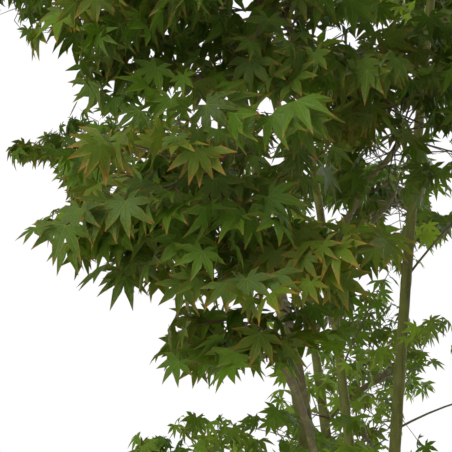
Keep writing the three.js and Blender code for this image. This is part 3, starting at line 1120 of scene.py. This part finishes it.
def leaf_material(name, blade, rusty, settings):
    """One tint of leaf, lighter or darker in each column of the pattern: pale veins, mottled blade,
    rust-coloured rims near the tips, and light through it"""
    made, graph = new_material(name)
    pattern = graph.node("ShaderNodeUVMap", {"uv_map": "OFBake"}).outputs[0]
    split = graph.node("ShaderNodeSeparateXYZ", None, {0: pattern})
    out, columns = Wire(graph, split.outputs["Y"]), Wire(graph, split.outputs["X"]) * len(LEAF_SHAPES)
    column = graph.maths("FLOOR", columns)
    chance = graph.node("ShaderNodeTexWhiteNoise", {"noise_dimensions": "1D"}, {"W": column + 0.5})
    tone = Wire(graph, chance.outputs["Value"])
    across = abs(columns - column - 0.5) * 2
    mottle = graph.ease(graph.noise(graph.stretch(pattern, MOTTLE_STRETCH), *MOTTLE_NOISE), 0.42, 0.66)
    midrib = graph.ease(across, MIDRIB_WIDTH, 0.0) * graph.ease(out, 1.0, 0.6)
    ribs = graph.maths("SINE", (out - across * RIB_SLANT) * RIB_WAVES)
    ribs = graph.ease(ribs, 0.72, 1.0) * graph.ease(across, 0.75, 0.2) * RIB_SHARE
    veins = graph.maths("MAXIMUM", midrib, ribs)
    waist, shoulder = LOBE_WAIST[1] / UV_WIDTH, LOBE_SHOULDER[1] / UV_WIDTH
    stops = [(0, 0.9 * waist), (0.35, waist), (LOBE_WAIST[0], waist), (LOBE_SHOULDER[0], shoulder), (1, 0)]
    width = Wire(graph, graph.out("ShaderNodeValToRGB", {"Fac": out}, {"stops": stops}))
    rim = graph.ease(across / (width + RIM_SPARE) + mottle * 0.2, *RUST_RIM) * graph.ease(out, 0.35, 0.65)
    tips = graph.ease(out + mottle * 0.1, 1 - RUST_REACH * rusty, 1.0) * 0.85
    least, more = RUST_SHARES
    rust = graph.maths("MAXIMUM", rim * rusty, tips) * (tone * more + least)
    colour = graph.blend(tone, *(opaque(blade, share) for share in LEAF_TONES))
    colour = graph.blend(mottle * MOTTLE_SHARE, colour, opaque(settings.mottle))
    colour = graph.blend(veins * VEIN_SHARE, colour, opaque(settings.vein))
    colour = graph.blend(rust, colour, opaque(settings.rust))
    skin = graph.skin(colour, settings.gloss, LEAF_SHINE, graph.bump(veins, *VEIN_RELIEF, invert=True))
    through = tuple(min(c * k, 1) for c, k in zip(blade, LIGHT_THROUGH)) + (1.0,)
    glow = graph.out("ShaderNodeBsdfTranslucent", {"Color": through})
    graph.cover(graph.out("ShaderNodeMixShader", {0: settings.through, 1: skin, 2: glow}))
    return made


# Making pieces

FURROW_STRETCH = (1, 1, 0.3)
STALK_WAIST = 0.3  # where a stalk is thickest, as a share of its length


def link(piece):
    bpy.context.scene.collection.objects.link(piece)
    return piece


def finish_piece(piece, nodes):
    """The piece rides on the plant and stands for these nodes"""
    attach(piece, "root")
    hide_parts(*nodes)


def foliage_nodes():
    return [name for name in frame["nodes"] if name.startswith("foliage_")]


def bake_modifiers(piece):
    """The modifiers' result as a plain mesh"""
    graph = bpy.context.evaluated_depsgraph_get()
    mesh = bpy.data.meshes.new_from_object(piece.evaluated_get(graph))
    piece.modifiers.clear()
    piece.data = mesh


def apply_tree(piece, tree, values):
    """Runs a Geometry Nodes tree on a piece, with its inputs given by name, and keeps the result"""
    modifier = piece.modifiers.new(tree.name, "NODES")
    modifier.node_group = tree
    for item in tree.interface.items_tree:
        if item.in_out == "INPUT" and item.name in values:
            modifier[item.identifier] = values[item.name]
    bake_modifiers(piece)


def new_tree(name, sockets):
    """A Geometry Nodes tree with a geometry in and out, and the named inputs"""
    tree = bpy.data.node_groups.new(name, "GeometryNodeTree")
    tree.interface.new_socket(name="Geometry", in_out="INPUT", socket_type="NodeSocketGeometry")
    tree.interface.new_socket(name="Geometry", in_out="OUTPUT", socket_type="NodeSocketGeometry")
    for label, kind in sockets:
        tree.interface.new_socket(name=label, in_out="INPUT", socket_type=f"NodeSocket{kind}")
    graph = Graph(tree)
    return tree, graph, graph.node("NodeGroupInput").outputs


def close_tree(graph, geometry, material):
    """Instances made real, shaded smooth and given their material"""
    real = graph.out("GeometryNodeRealizeInstances", {0: geometry})
    smooth = graph.out("GeometryNodeSetShadeSmooth", {0: real})
    done = graph.out("GeometryNodeSetMaterial", {0: smooth, "Material": material})
    graph.node("NodeGroupOutput", None, {0: done})


def named(graph, name, kind="FLOAT"):
    return graph.out("GeometryNodeInputNamedAttribute", {"Name": name}, {"data_type": kind})


@lru_cache(maxsize=1)
def tube_tree():
    """A skin round each route, as thick as its points say, with a closed end"""
    tree, graph, given = new_tree("tube along a route", [("Sides", "Int"), ("Material", "Material")])
    curve = graph.out("GeometryNodeMeshToCurve", {0: given["Geometry"]})
    sockets = {"Resolution": given["Sides"], "Radius": 1.0}
    ring = graph.out("GeometryNodeCurvePrimitiveCircle", sockets, {"mode": "RADIUS"})
    sockets = {"Curve": curve, "Profile Curve": ring, "Scale": named(graph, "girth"), "Fill Caps": True}
    close_tree(graph, graph.out("GeometryNodeCurveToMesh", sockets), given["Material"])
    return tree


@lru_cache(maxsize=1)
def relief_tree():
    """Low swellings and upright furrows of bark, pressed into a skin along its normals"""
    sockets = [("Relief", "Float"), ("Grain", "Float"), ("Material", "Material")]
    tree, graph, given = new_tree("bark relief", sockets)
    normal = graph.node("GeometryNodeInputNormal").outputs[0]
    sockets = {0: graph.node("GeometryNodeInputPosition").outputs[0], 1: FURROW_STRETCH}
    upright = graph.out("ShaderNodeVectorMath", sockets, {"operation": "MULTIPLY"})
    height = graph.noise(upright, given["Grain"], 3) - 0.5
    sockets = {"Vector": normal, "Scale": (height * given["Relief"]).socket}
    push = graph.out("ShaderNodeVectorMath", sockets, {"operation": "SCALE"})
    moved = graph.out("GeometryNodeSetPosition", {"Geometry": given["Geometry"], "Offset": push})
    close_tree(graph, moved, given["Material"])
    return tree


@lru_cache(maxsize=1)
def scatter_tree():
    """Leaf shapes, or one stalk shape, on points that say how each is turned, sized and picked"""
    tree, graph, given = new_tree("shapes on points", [("Shapes", "Collection"), ("Material", "Material")])
    sockets = {"Collection": given["Shapes"], "Separate Children": True, "Reset Children": True}
    shapes = graph.out("GeometryNodeCollectionInfo", sockets, {"transform_space": "ORIGINAL"})
    sockets = {
        "Points": given["Geometry"],
        "Instance": shapes,
        "Pick Instance": True,
        "Instance Index": named(graph, "shape", "INT"),
        "Rotation": named(graph, "turn", "QUATERNION"),
        "Scale": named(graph, "size", "FLOAT_VECTOR"),
    }
    close_tree(graph, graph.out("GeometryNodeInstanceOnPoints", sockets), given["Material"])
    return tree


def route_piece(name, routes, sides, material):
    """One mesh of tubes along routes"""
    places, girths, edges = [], [], []
    for route in routes:
        first = len(places)
        places += [knot.place for knot in route]
        girths += [knot.radius for knot in route]
        edges += [(k, k + 1) for k in range(first, len(places) - 1)]
    mesh = bpy.data.meshes.new(name)
    mesh.from_pydata(places, edges, [])
    mesh.attributes.new("girth", "FLOAT", "POINT").data.foreach_set("value", girths)
    piece = link(bpy.data.objects.new(name, mesh))
    apply_tree(piece, tube_tree(), {"Sides": sides, "Material": material})
    return piece


def scatter_piece(name, items, shapes, material):
    """One mesh of shapes on points; each item is its place, turn, size on three axes and shape"""
    mesh = bpy.data.meshes.new(name)
    mesh.from_pydata([item[0] for item in items], [], [])
    turns = np.array([item[1][:] for item in items], np.float32)
    sizes = np.array([item[2] for item in items], np.float32)
    kinds = np.array([item[3] for item in items], np.int32)
    mesh.attributes.new("turn", "QUATERNION", "POINT").data.foreach_set("value", turns.ravel())
    mesh.attributes.new("size", "FLOAT_VECTOR", "POINT").data.foreach_set("vector", sizes.ravel())
    mesh.attributes.new("shape", "INT", "POINT").data.foreach_set("value", kinds)
    piece = link(bpy.data.objects.new(name, mesh))
    apply_tree(piece, scatter_tree(), {"Shapes": shapes, "Material": material})
    return piece


class Shapes:
    """Template shapes in a collection of their own, which goes when the pieces are made"""

    def __init__(self, meshes):
        self.collection = bpy.data.collections.new("shapes")
        for mesh in meshes:
            self.collection.objects.link(bpy.data.objects.new(mesh.name, mesh))

    def __enter__(self):
        return self.collection

    def __exit__(self, *_):
        for piece in list(self.collection.objects):
            bpy.data.objects.remove(piece)
        bpy.data.collections.remove(self.collection)


class LeafShape(NamedTuple):
    """How a leaf is bent: arched from foot to tips, folded along each rib, tilted, and its lobes swept;
    and how many lobes it has"""

    arch: float
    fold: float
    tilt: float
    sweep: float
    lobes: int


LEAF_SHAPES = (
    LeafShape(0.22, 0.45, 0.05, 0.05, 7),
    LeafShape(0.38, 0.30, -0.08, -0.06, 5),
    LeafShape(0.10, 0.55, 0.10, -0.04, 7),
    LeafShape(0.50, 0.35, 0.02, 0.07, 7),
    LeafShape(-0.06, 0.40, -0.10, 0.03, 7),
    LeafShape(0.30, 0.50, 0.06, -0.02, 5),
)


def leaf_mesh(name, kind):
    """A leaf of unit length in the XY plane, its foot at the origin, its middle lobe along +Y and its
    upper face up. The pattern runs out along each lobe, in a column of its own for each kind of leaf."""
    shape = LEAF_SHAPES[kind]
    spare = (len(LOBES) - shape.lobes) // 2
    lobes = LOBES[spare : len(LOBES) - spare]
    corners, faces, pattern = [], [], []

    def add(angle, out, wide, length):
        a = math.radians(angle)
        along_lobe = Vector((math.sin(a), math.cos(a), 0))
        across_lobe = Vector((math.cos(a), -math.sin(a), 0))
        swept = wide + shape.sweep * out**3
        place = (along_lobe * out + across_lobe * swept) * length
        place.z = shape.fold * abs(wide) * length - shape.arch * (out * length) ** 2 + shape.tilt * place.x
        corners.append(place)
        return len(corners) - 1, ((kind + 0.5 + 0.5 * wide / UV_WIDTH) / len(LEAF_SHAPES), out)

    hub = add(0, 0, 0, 1)
    for k, (angle, length) in enumerate(lobes):
        plain = length < LEAST_LOBE
        tip = add(angle, 1, 0, length)
        rib = tip if plain else add(angle, LOBE_WAIST[0], 0, length)
        for side in (-1, 1):
            waist = add(angle, LOBE_WAIST[0], side * LOBE_WAIST[1], length)
            made = []
            if not plain:
                shoulder = add(angle, LOBE_SHOULDER[0], side * LOBE_SHOULDER[1], length)
                made += [(rib, shoulder, waist), (rib, tip, shoulder)]
            if 0 <= k + side < len(lobes):
                depth = LOBE_NOTCH * (length + lobes[k + side][1]) / 2 / length
                half = math.radians(LOBE_TURN / 2)
                notch = add(angle, depth * math.cos(half), side * depth * math.sin(half), length)
                made += [(hub, rib, notch), (rib, waist, notch)]
            else:
                made.append((hub, rib, waist))
            for face in made:
                face = (face[0], face[2], face[1]) if side > 0 else face
                faces.append([corner[0] for corner in face])
                pattern += [corner[1] for corner in face]
    mesh = bpy.data.meshes.new(name)
    mesh.from_pydata(corners, [], faces)
    layer = mesh.uv_layers.new(name="OFBake")
    layer.data.foreach_set("uv", [c for pair in pattern for c in pair])
    form = bmesh.new()
    form.from_mesh(mesh)
    bmesh.ops.remove_doubles(form, verts=form.verts, dist=LEAF_WELD)
    form.to_mesh(mesh)
    form.free()
    return mesh


def stalk_mesh():
    """A thin closed spindle of unit length along +Z"""
    ring = [heading(120 * k) + UP * STALK_WAIST for k in range(3)]
    corners = [Vector((0, 0, 0)), *ring, UP.copy()]
    faces = [face for k in range(3) for face in ((0, 1 + (k + 1) % 3, 1 + k), (4, 1 + k, 1 + (k + 1) % 3))]
    mesh = bpy.data.meshes.new("stalk")
    mesh.from_pydata(corners, [], faces)
    return mesh


# Wood

CROTCH_SPAN = (0.55, 0.95)  # shares of the fork's height between which the trunk widens to its crotch
TRUNK_SIDES = 40
TRUNK_RINGS = 50
RING_LEAN = 1.3  # above 1, the rings lie closer near the ground
ROUNDED_TOP = (0.92, 0.5)  # from which share of its height the trunk narrows, and how much
TRUNK_BELOW = 0.03  # how far it first goes below the ground, where it is then cut
TRUNK_VOXEL = 0.0055  # the size of the cells in which trunk and stems grow together,
SOFTENING = (0.5, 5)  # and how much each pass smooths them afterwards, and how many passes
FOOT_SIDES = 16
FOOT_SWELL = 1.12
STEM_SIDES = 14
BOUGH_SIDES = 10
TWIG_SIDES = 3
TRUNK_GRAIN = (2.2, 34.0)  # how deep the relief is, as a share of the setting, and how fine
STEM_GRAIN = (1.0, 60.0)
BOUGH_GRAIN = (0.6, 90.0)
TRUNK_PATTERN = 0.8  # how fine the bark's colours are, as a share of BARK_PATTERNS
STEM_PATTERN = 1.0
BOUGH_PATTERN = 1.5
FIRST_KNUCKLE = 0.05
KNUCKLE_GAPS = (0.07, 0.15)
KNUCKLE_PAST = 0.02  # how far past a knuckle the next one is chosen
KNUCKLE_SWELL = 0.10
KNUCKLE_LENGTH = 0.008
COLLAR_SWELL = 0.45
COLLAR_LENGTH = 0.03
STEM_SEED = 500
BOUGH_SEED = 700


def travelled(route):
    """How far along the route each of its knots is"""
    gone = [0.0]
    for before, knot in zip(route, route[1:]):
        gone.append(gone[-1] + (knot.place - before.place).length)
    return gone


def knuckled(route, seed):
    """Limbs swell a little where leaves and twigs once stood"""
    draw = seeded(seed)
    knuckle, made = FIRST_KNUCKLE, []
    for knot, gone in zip(route, travelled(route)):
        if gone > knuckle + KNUCKLE_PAST:
            knuckle += mix(*KNUCKLE_GAPS, draw())
        swell = KNUCKLE_SWELL * math.exp(-(((gone - knuckle) / KNUCKLE_LENGTH) ** 2))
        made.append(Knot(knot.place, knot.radius * (1 + swell)))
    return made


def collared(route):
    """A bough's foot flares into the stem that bears it"""
    made = []
    for knot, gone in zip(route, travelled(route)):
        flare = COLLAR_SWELL * math.exp(-((gone / COLLAR_LENGTH) ** 2))
        made.append(Knot(knot.place, knot.radius * (1 + flare)))
    return made


def trunk_radius(height):
    flare = (FLARE_RADIUS - TRUNK_RADIUS) * math.exp(-2 * height / FLARE_HEIGHT)
    low, high = (share * FORK_HEIGHT for share in CROTCH_SPAN)
    return TRUNK_RADIUS + flare + (CROTCH_RADIUS - TRUNK_RADIUS) * smoothstep(height, low, high)


def trunk_rings():
    """Rings up the trunk, from below the ground to its rounded top"""
    rings = []
    heights = [FORK_HEIGHT * (k / TRUNK_RINGS) ** RING_LEAN for k in range(TRUNK_RINGS + 1)]
    for height in (-TRUNK_BELOW, *heights):
        above = max(height, 0)
        share = above / FORK_HEIGHT
        top = 1 - ROUNDED_TOP[1] * smoothstep(share, ROUNDED_TOP[0], 1.0) ** 2
        ring = []
        for i in range(TRUNK_SIDES):
            turn = 2 * math.pi * i / TRUNK_SIDES
            ridge = ROOT_RIDGE_DEPTH * math.cos(ROOT_RIDGES * turn) * math.exp(-above / FLARE_HEIGHT)
            radius = trunk_radius(above) * (1 + ridge) * top
            middle = (FORK_OFFSET[0] * share**2, FORK_OFFSET[1] * share**2)
            ring.append((middle[0] + radius * math.cos(turn), middle[1] + radius * math.sin(turn), height))
        rings.append(ring)
    return rings


def press_bark(piece, wood, grain, material):
    depth, fineness = grain
    apply_tree(piece, relief_tree(), {"Relief": wood.relief * depth, "Grain": fineness, "Material": material})


def grow_together(trunk):
    """Trunk and feet become one skin, without seams where they cross"""
    remesh = trunk.modifiers.new("grow together", "REMESH")
    remesh.mode = "VOXEL"
    remesh.voxel_size = TRUNK_VOXEL
    soften = trunk.modifiers.new("soften", "SMOOTH")
    soften.factor, soften.iterations = SOFTENING
    bake_modifiers(trunk)


def cut_at_ground(trunk):
    form = bmesh.new()
    form.from_mesh(trunk.data)
    geometry = form.verts[:] + form.edges[:] + form.faces[:]
    bmesh.ops.bisect_plane(form, geom=geometry, plane_co=(0, 0, 0), plane_no=UP, clear_inner=True)
    bmesh.ops.contextual_create(form, geom=[edge for edge in form.edges if edge.is_boundary])
    bmesh.ops.recalc_face_normals(form, faces=form.faces)
    form.to_mesh(trunk.data)
    form.free()


def skin_mesh(name, rings):
    sides = len(rings[0])
    corners = [corner for ring in rings for corner in ring]
    faces = []
    for k in range(len(rings) - 1):
        for i in range(sides):
            a, b = k * sides + i, k * sides + (i + 1) % sides
            faces.append((a, b, b + sides, a + sides))
    faces.append(tuple(range(sides))[::-1])
    faces.append(tuple(range(len(corners) - sides, len(corners))))
    mesh = bpy.data.meshes.new(name)
    mesh.from_pydata(corners, [], faces)
    return mesh


class MAPLE_OT_trunk(bpy.types.Operator):
    """Make the trunk: root flare, waist and crotch, grown together with the feet of the stems"""

    bl_idname = "maple.trunk"
    bl_label = "Trunk"

    def execute(self, context):
        wood = context.scene.maple_wood
        material = bark_material("trunk_bark", wood.bark, wood, TRUNK_PATTERN)
        trunk = link(bpy.data.objects.new("trunk_bark", skin_mesh("trunk_bark", trunk_rings())))
        feet = []
        for route in grown().routes.values():
            foot = [knot for knot in smooth_route(route) if knot.place.z < FORK_HEIGHT + wood.crotch_rise]
            feet.append([Knot(knot.place, knot.radius * FOOT_SWELL) for knot in foot])
        roots = route_piece("stem_feet", feet, FOOT_SIDES, material)
        with context.temp_override(active_object=trunk, selected_editable_objects=[trunk, roots]):
            bpy.ops.object.join()
        grow_together(trunk)
        press_bark(trunk, wood, TRUNK_GRAIN, material)
        cut_at_ground(trunk)
        finish_piece(trunk, ["trunk"])
        return {"FINISHED"}


class MAPLE_OT_stems(bpy.types.Operator):
    """Make the six stems, each going on to the top of its mass of foliage"""

    bl_idname = "maple.stems"
    bl_label = "Stems"

    def execute(self, context):
        wood = context.scene.maple_wood
        plant = grown()
        material = bark_material("stem_bark", wood.bark, wood, STEM_PATTERN)
        tops = {mass.name: mass.stem for mass in plant.masses}
        for k, (name, route) in enumerate(plant.routes.items()):
            whole = smooth_route(route + tops[f"tip_{name}"][1:])
            piece = route_piece(f"stem_{name}_bark", [knuckled(whole, STEM_SEED + k)], STEM_SIDES, material)
            press_bark(piece, wood, STEM_GRAIN, material)
            finish_piece(piece, [f"stem_{name}"])
        return {"FINISHED"}


class MAPLE_OT_boughs(bpy.types.Operator):
    """Make the side boughs, each flaring into its stem and going on through its mass of foliage"""

    bl_idname = "maple.boughs"
    bl_label = "Boughs"

    def execute(self, context):
        wood = context.scene.maple_wood
        side_masses = [mass for mass in grown().masses if not mass.name.startswith("tip_")]
        material = bark_material("bough_bark", wood.young_bark, wood, BOUGH_PATTERN)
        routes = []
        for k, mass in enumerate(side_masses):
            whole = smooth_route(mass.limb + mass.stem[1:])
            routes.append(collared(knuckled(whole, BOUGH_SEED + k)))
        piece = route_piece("boughs_bark", routes, BOUGH_SIDES, material)
        press_bark(piece, wood, BOUGH_GRAIN, material)
        finish_piece(piece, [f"bough_{mass.name}" for mass in side_masses])
        return {"FINISHED"}


# Crown


class MAPLE_OT_twigs(bpy.types.Operator):
    """Make the twigs and side shoots of every mass of foliage"""

    bl_idname = "maple.twigs"
    bl_label = "Twigs"

    def execute(self, context):
        wood = context.scene.maple_wood
        material = twig_material("twig_skin", wood.twig, wood.twig_green)
        piece = route_piece("twigs", grown().crown.twigs, TWIG_SIDES, material)
        finish_piece(piece, foliage_nodes())
        return {"FINISHED"}


class MAPLE_OT_stalks(bpy.types.Operator):
    """Make the leaf stalks"""

    bl_idname = "maple.stalks"
    bl_label = "Leaf Stalks"

    def execute(self, context):
        wood = context.scene.maple_wood
        material = twig_material("stalk_skin", wood.stalk, wood.twig_green)
        items = []
        for node, foot in grown().crown.stalks:
            way = foot - node
            items.append((node, way.to_track_quat("Z", "Y"), (STALK_RADIUS, STALK_RADIUS, way.length), 0))
        with Shapes([stalk_mesh()]) as shapes:
            piece = scatter_piece("leaf_stalks", items, shapes, material)
        finish_piece(piece, foliage_nodes())
        return {"FINISHED"}


class MAPLE_OT_leaves(bpy.types.Operator):
    """Make the leaves, one piece for each tint, which is dealt out by spray"""

    bl_idname = "maple.leaves"
    bl_label = "Leaves"

    def execute(self, context):
        settings = context.scene.maple_leaves
        with Shapes([leaf_mesh(f"leaf_{kind}", kind) for kind in range(len(LEAF_SHAPES))]) as shapes:
            for tint in TINTS:
                leaves = grown().crown.leaves[tint.name]
                material = leaf_material(f"{tint.name}_leaf", tint.colour, tint.rusty, settings)
                items = [(leaf.foot, leaf.turn, (leaf.size,) * 3, leaf.shape) for leaf in leaves]
                piece = scatter_piece(f"leaves_{tint.name}", items, shapes, material)
                finish_piece(piece, foliage_nodes())
        return {"FINISHED"}


# Stage

LAMP_AIM = Vector((0, 0, 1.7))
FLOOR_RADIUS = 4.0
FLOOR_SIDES = 96
FLOOR_FINISH = (0.9, 0.5)  # how rough and how shiny
FLOOR_SHADES = ((0.74, 0.74, 0.73, 1), (0.80, 0.80, 0.79, 1))
PLAIN_WHITE = (1, 1, 1, 1)
SKY_SHADES = ((0.85, 0.85, 0.85, 1), PLAIN_WHITE)
SKY_RISE = (-0.5, 0.8)  # how far down and up one looks where the sky is darkest and brightest
FARTHEST_SEEN = 100  # metres


class Lamp(NamedTuple):
    """A round lamp: its place, how wide it is, and the setting that says its power"""

    name: str
    place: tuple
    size: float
    power: str


LAMPS = (
    Lamp("key_light", (-2.8, -3.8, 3.8), 3.6, "key_power"),
    Lamp("top_light", (0.6, 0.4, 6.0), 4.0, "top_power"),
    Lamp("back_light", (4.2, 4.0, 2.6), 6.0, "back_power"),
)


class MAPLE_OT_stage(bpy.types.Operator):
    """Make the pale floor, the soft light and the camera at the photograph's angle"""

    bl_idname = "maple.stage"
    bl_label = "Stage"

    def execute(self, context):
        stage = context.scene.maple_stage
        context.scene.view_settings.view_transform = "Standard"
        self.make_floor()
        self.make_sky(context.scene, stage)
        for lamp in LAMPS:
            self.make_lamp(lamp, getattr(stage, lamp.power))
        data = bpy.data.cameras.new("camera")
        data.lens = stage.lens
        data.clip_end = FARTHEST_SEEN
        camera = link(bpy.data.objects.new("camera", data))
        camera.location = stage.camera_place
        camera.rotation_euler = (math.radians(90), 0, 0)
        context.scene.camera = camera
        return {"FINISHED"}

    def make_floor(self):
        mesh = bpy.data.meshes.new("floor")
        form = bmesh.new()
        bmesh.ops.create_circle(form, cap_ends=True, radius=FLOOR_RADIUS, segments=FLOOR_SIDES)
        form.to_mesh(mesh)
        form.free()
        made, graph = new_material("floor_paint")
        place = graph.node("ShaderNodeTexCoord").outputs["Object"]
        cloud = graph.ease(graph.noise(place, 3, 4), 0.3, 0.7)
        graph.cover(graph.skin(graph.blend(cloud, *FLOOR_SHADES), *FLOOR_FINISH))
        mesh.materials.append(made)
        link(bpy.data.objects.new("floor", mesh))

    def make_sky(self, scene, stage):
        """The camera sees plain white; the plant is lit by a sky that is brighter above"""
        world = bpy.data.worlds.new("sky")
        world.use_nodes = True
        world.node_tree.nodes.clear()
        graph = Graph(world.node_tree)
        seen = graph.node("ShaderNodeLightPath").outputs["Is Camera Ray"]
        place = graph.node("ShaderNodeTexCoord").outputs["Generated"]
        glow = graph.blend(graph.ease(graph.height(place), *SKY_RISE), *SKY_SHADES)
        sky = graph.out("ShaderNodeBackground", {"Color": glow, "Strength": stage.sky})
        plain = graph.out("ShaderNodeBackground", {"Color": PLAIN_WHITE, "Strength": 1.0})
        both = graph.out("ShaderNodeMixShader", {0: seen, 1: sky, 2: plain})
        graph.node("ShaderNodeOutputWorld", None, {"Surface": both})
        scene.world = world

    def make_lamp(self, lamp, power):
        data = bpy.data.lights.new(lamp.name, "AREA")
        data.shape = "DISK"
        data.size = lamp.size
        data.energy = power
        piece = link(bpy.data.objects.new(lamp.name, data))
        piece.location = lamp.place
        aim = LAMP_AIM - Vector(lamp.place)
        piece.rotation_euler = aim.to_track_quat("-Z", "Y").to_euler()


# Settings


class Tint(NamedTuple):
    """A tint of leaf: its base colour, how much of it is rusty, its share of the sprays, and its share of
    those low in the crown, where little light is taken by other leaves; there the lighter tints are
    painted light that makes the low crown look brighter lit"""

    name: str
    colour: tuple
    rusty: float
    share: float
    low_share_painted_light: float


TINTS = (
    Tint("deep", (0.030, 0.072, 0.004), 0.35, 0.18, 0),
    Tint("forest", (0.038, 0.086, 0.005), 0.5, 0.18, 0.05),
    Tint("mid", (0.046, 0.100, 0.006), 0.4, 0.18, 0.15),
    Tint("fresh", (0.062, 0.120, 0.007), 0.5, 0.16, 0.28),
    Tint("dusky", (0.042, 0.078, 0.010), 0.6, 0.16, 0.04),
    Tint("bronze", (0.057, 0.090, 0.007), 0.9, 0.14, 0.08),
    # painted light: the lightest tint, which goes only to the low crown to make it look brighter lit
    Tint("light", (0.105, 0.175, 0.016), 0.3, 0, 0.40),
)


def number(name, description, default, **limits):
    return FloatProperty(name=name, description=description, default=default, **limits)


def shade(name, description, default):
    return FloatVectorProperty(
        name=name, description=description, default=default, size=3, subtype="COLOR", min=0, max=1
    )


class MapleCrown(bpy.types.PropertyGroup):
    """How the finer twigs and the leaves grow"""

    leaf_length: number("Leaf Length", "From a leaf's foot to its tip", 0.048, min=0.01, unit="LENGTH")
    leaf_droop: number("Leaf Droop", "How far a leaf hangs below the level", 0.9, subtype="ANGLE")
    leaf_scatter: number("Leaf Scatter", "How much the droop differs from leaf to leaf", 1.6, subtype="ANGLE")
    internode: number("Internode", "From one pair of shoots to the next", 0.043, min=0.01, unit="LENGTH")
    twig_sag: number("Twig Sag", "How much twigs bend down for each metre", 1.0)


class MapleWood(bpy.types.PropertyGroup):
    """Bark and young wood"""

    relief: number("Bark Relief", "Depth of the bark's furrows", 0.0022, min=0, unit="LENGTH")
    crotch_rise: number("Crotch Rise", "How far up the stems the trunk's wood climbs", 0.10, unit="LENGTH")
    bark: shade("Bark", "Main colour of the bark", (0.122, 0.130, 0.028))
    bark_dark: shade("Dark Bark", "Colour of the bark's furrows", (0.060, 0.056, 0.017))
    bark_pale: shade("Pale Bark", "Colour of the bark's patches", (0.180, 0.182, 0.056))
    old_bark: shade("Old Bark", "Colour of the bark near the ground", (0.125, 0.108, 0.062))
    young_bark: shade("Young Bark", "Main colour of the boughs", (0.085, 0.065, 0.032))
    twig: shade("Twig", "Main colour of the twigs", (0.085, 0.035, 0.020))
    twig_green: shade("Green Twig", "Colour of the twigs' green parts", (0.075, 0.080, 0.022))
    stalk: shade("Stalk", "Main colour of the leaf stalks", (0.20, 0.060, 0.030))


class MapleLeaves(bpy.types.PropertyGroup):
    """Finish of the leaves"""

    vein: shade("Vein", "Colour of the veins", (0.15, 0.20, 0.03))
    mottle: shade("Mottle", "Colour of the blade's lighter patches", (0.115, 0.155, 0.012))
    rust: shade("Rust", "Colour of the lobes' tips and rims", (0.26, 0.11, 0.02))
    gloss: number("Roughness", "Roughness of a leaf's face", 0.48, min=0, max=1)
    through: number("Light Through", "Share of the light that passes a leaf", 0.27, min=0, max=1)


class MapleStage(bpy.types.PropertyGroup):
    """Camera and light"""

    camera_place: FloatVectorProperty(
        name="Camera", description="Where the camera stands", default=VIEWPOINT, subtype="TRANSLATION"
    )
    lens: number("Lens", "Focal length in millimetres", LENS, min=10)
    sky: number("Sky", "Strength of the sky's light", 0.60, min=0)
    key_power: number("Key Light", "Power of the light in front", 255, unit="POWER")
    top_power: number("Top Light", "Power of the light above", 330, unit="POWER")
    back_power: number("Back Light", "Power of the light behind", 480, unit="POWER")


class MAPLE_PT_sidebar(bpy.types.Panel):
    """Lists the steps that make the plant, with their settings"""

    bl_idname = "MAPLE_PT_sidebar"
    bl_label = "Japanese Maple"
    bl_space_type = "VIEW_3D"
    bl_region_type = "UI"
    bl_category = "Maple"

    def draw(self, context):
        for group in GROUPS:
            settings = getattr(context.scene, group)
            for name in type(settings).__annotations__:
                self.layout.prop(settings, name)
        for operator in OPERATORS:
            self.layout.operator(operator.bl_idname)


GROUPS = {
    "maple_crown": MapleCrown,
    "maple_wood": MapleWood,
    "maple_leaves": MapleLeaves,
    "maple_stage": MapleStage,
}
OPERATORS = (
    MAPLE_OT_trunk,
    MAPLE_OT_stems,
    MAPLE_OT_boughs,
    MAPLE_OT_twigs,
    MAPLE_OT_stalks,
    MAPLE_OT_leaves,
    MAPLE_OT_stage,
)


def register():
    for kind in (*GROUPS.values(), *OPERATORS, MAPLE_PT_sidebar):
        bpy.utils.register_class(kind)
    for name, kind in GROUPS.items():
        setattr(bpy.types.Scene, name, PointerProperty(type=kind))


def unregister():
    for name in GROUPS:
        delattr(bpy.types.Scene, name)
    for kind in (MAPLE_PT_sidebar, *reversed(OPERATORS), *reversed(GROUPS.values())):
        bpy.utils.unregister_class(kind)


def main():
    register()
    for operator in OPERATORS:
        group, name = operator.bl_idname.split(".")
        getattr(getattr(bpy.ops, group), name)()


if __name__ == "__main__":
    main()
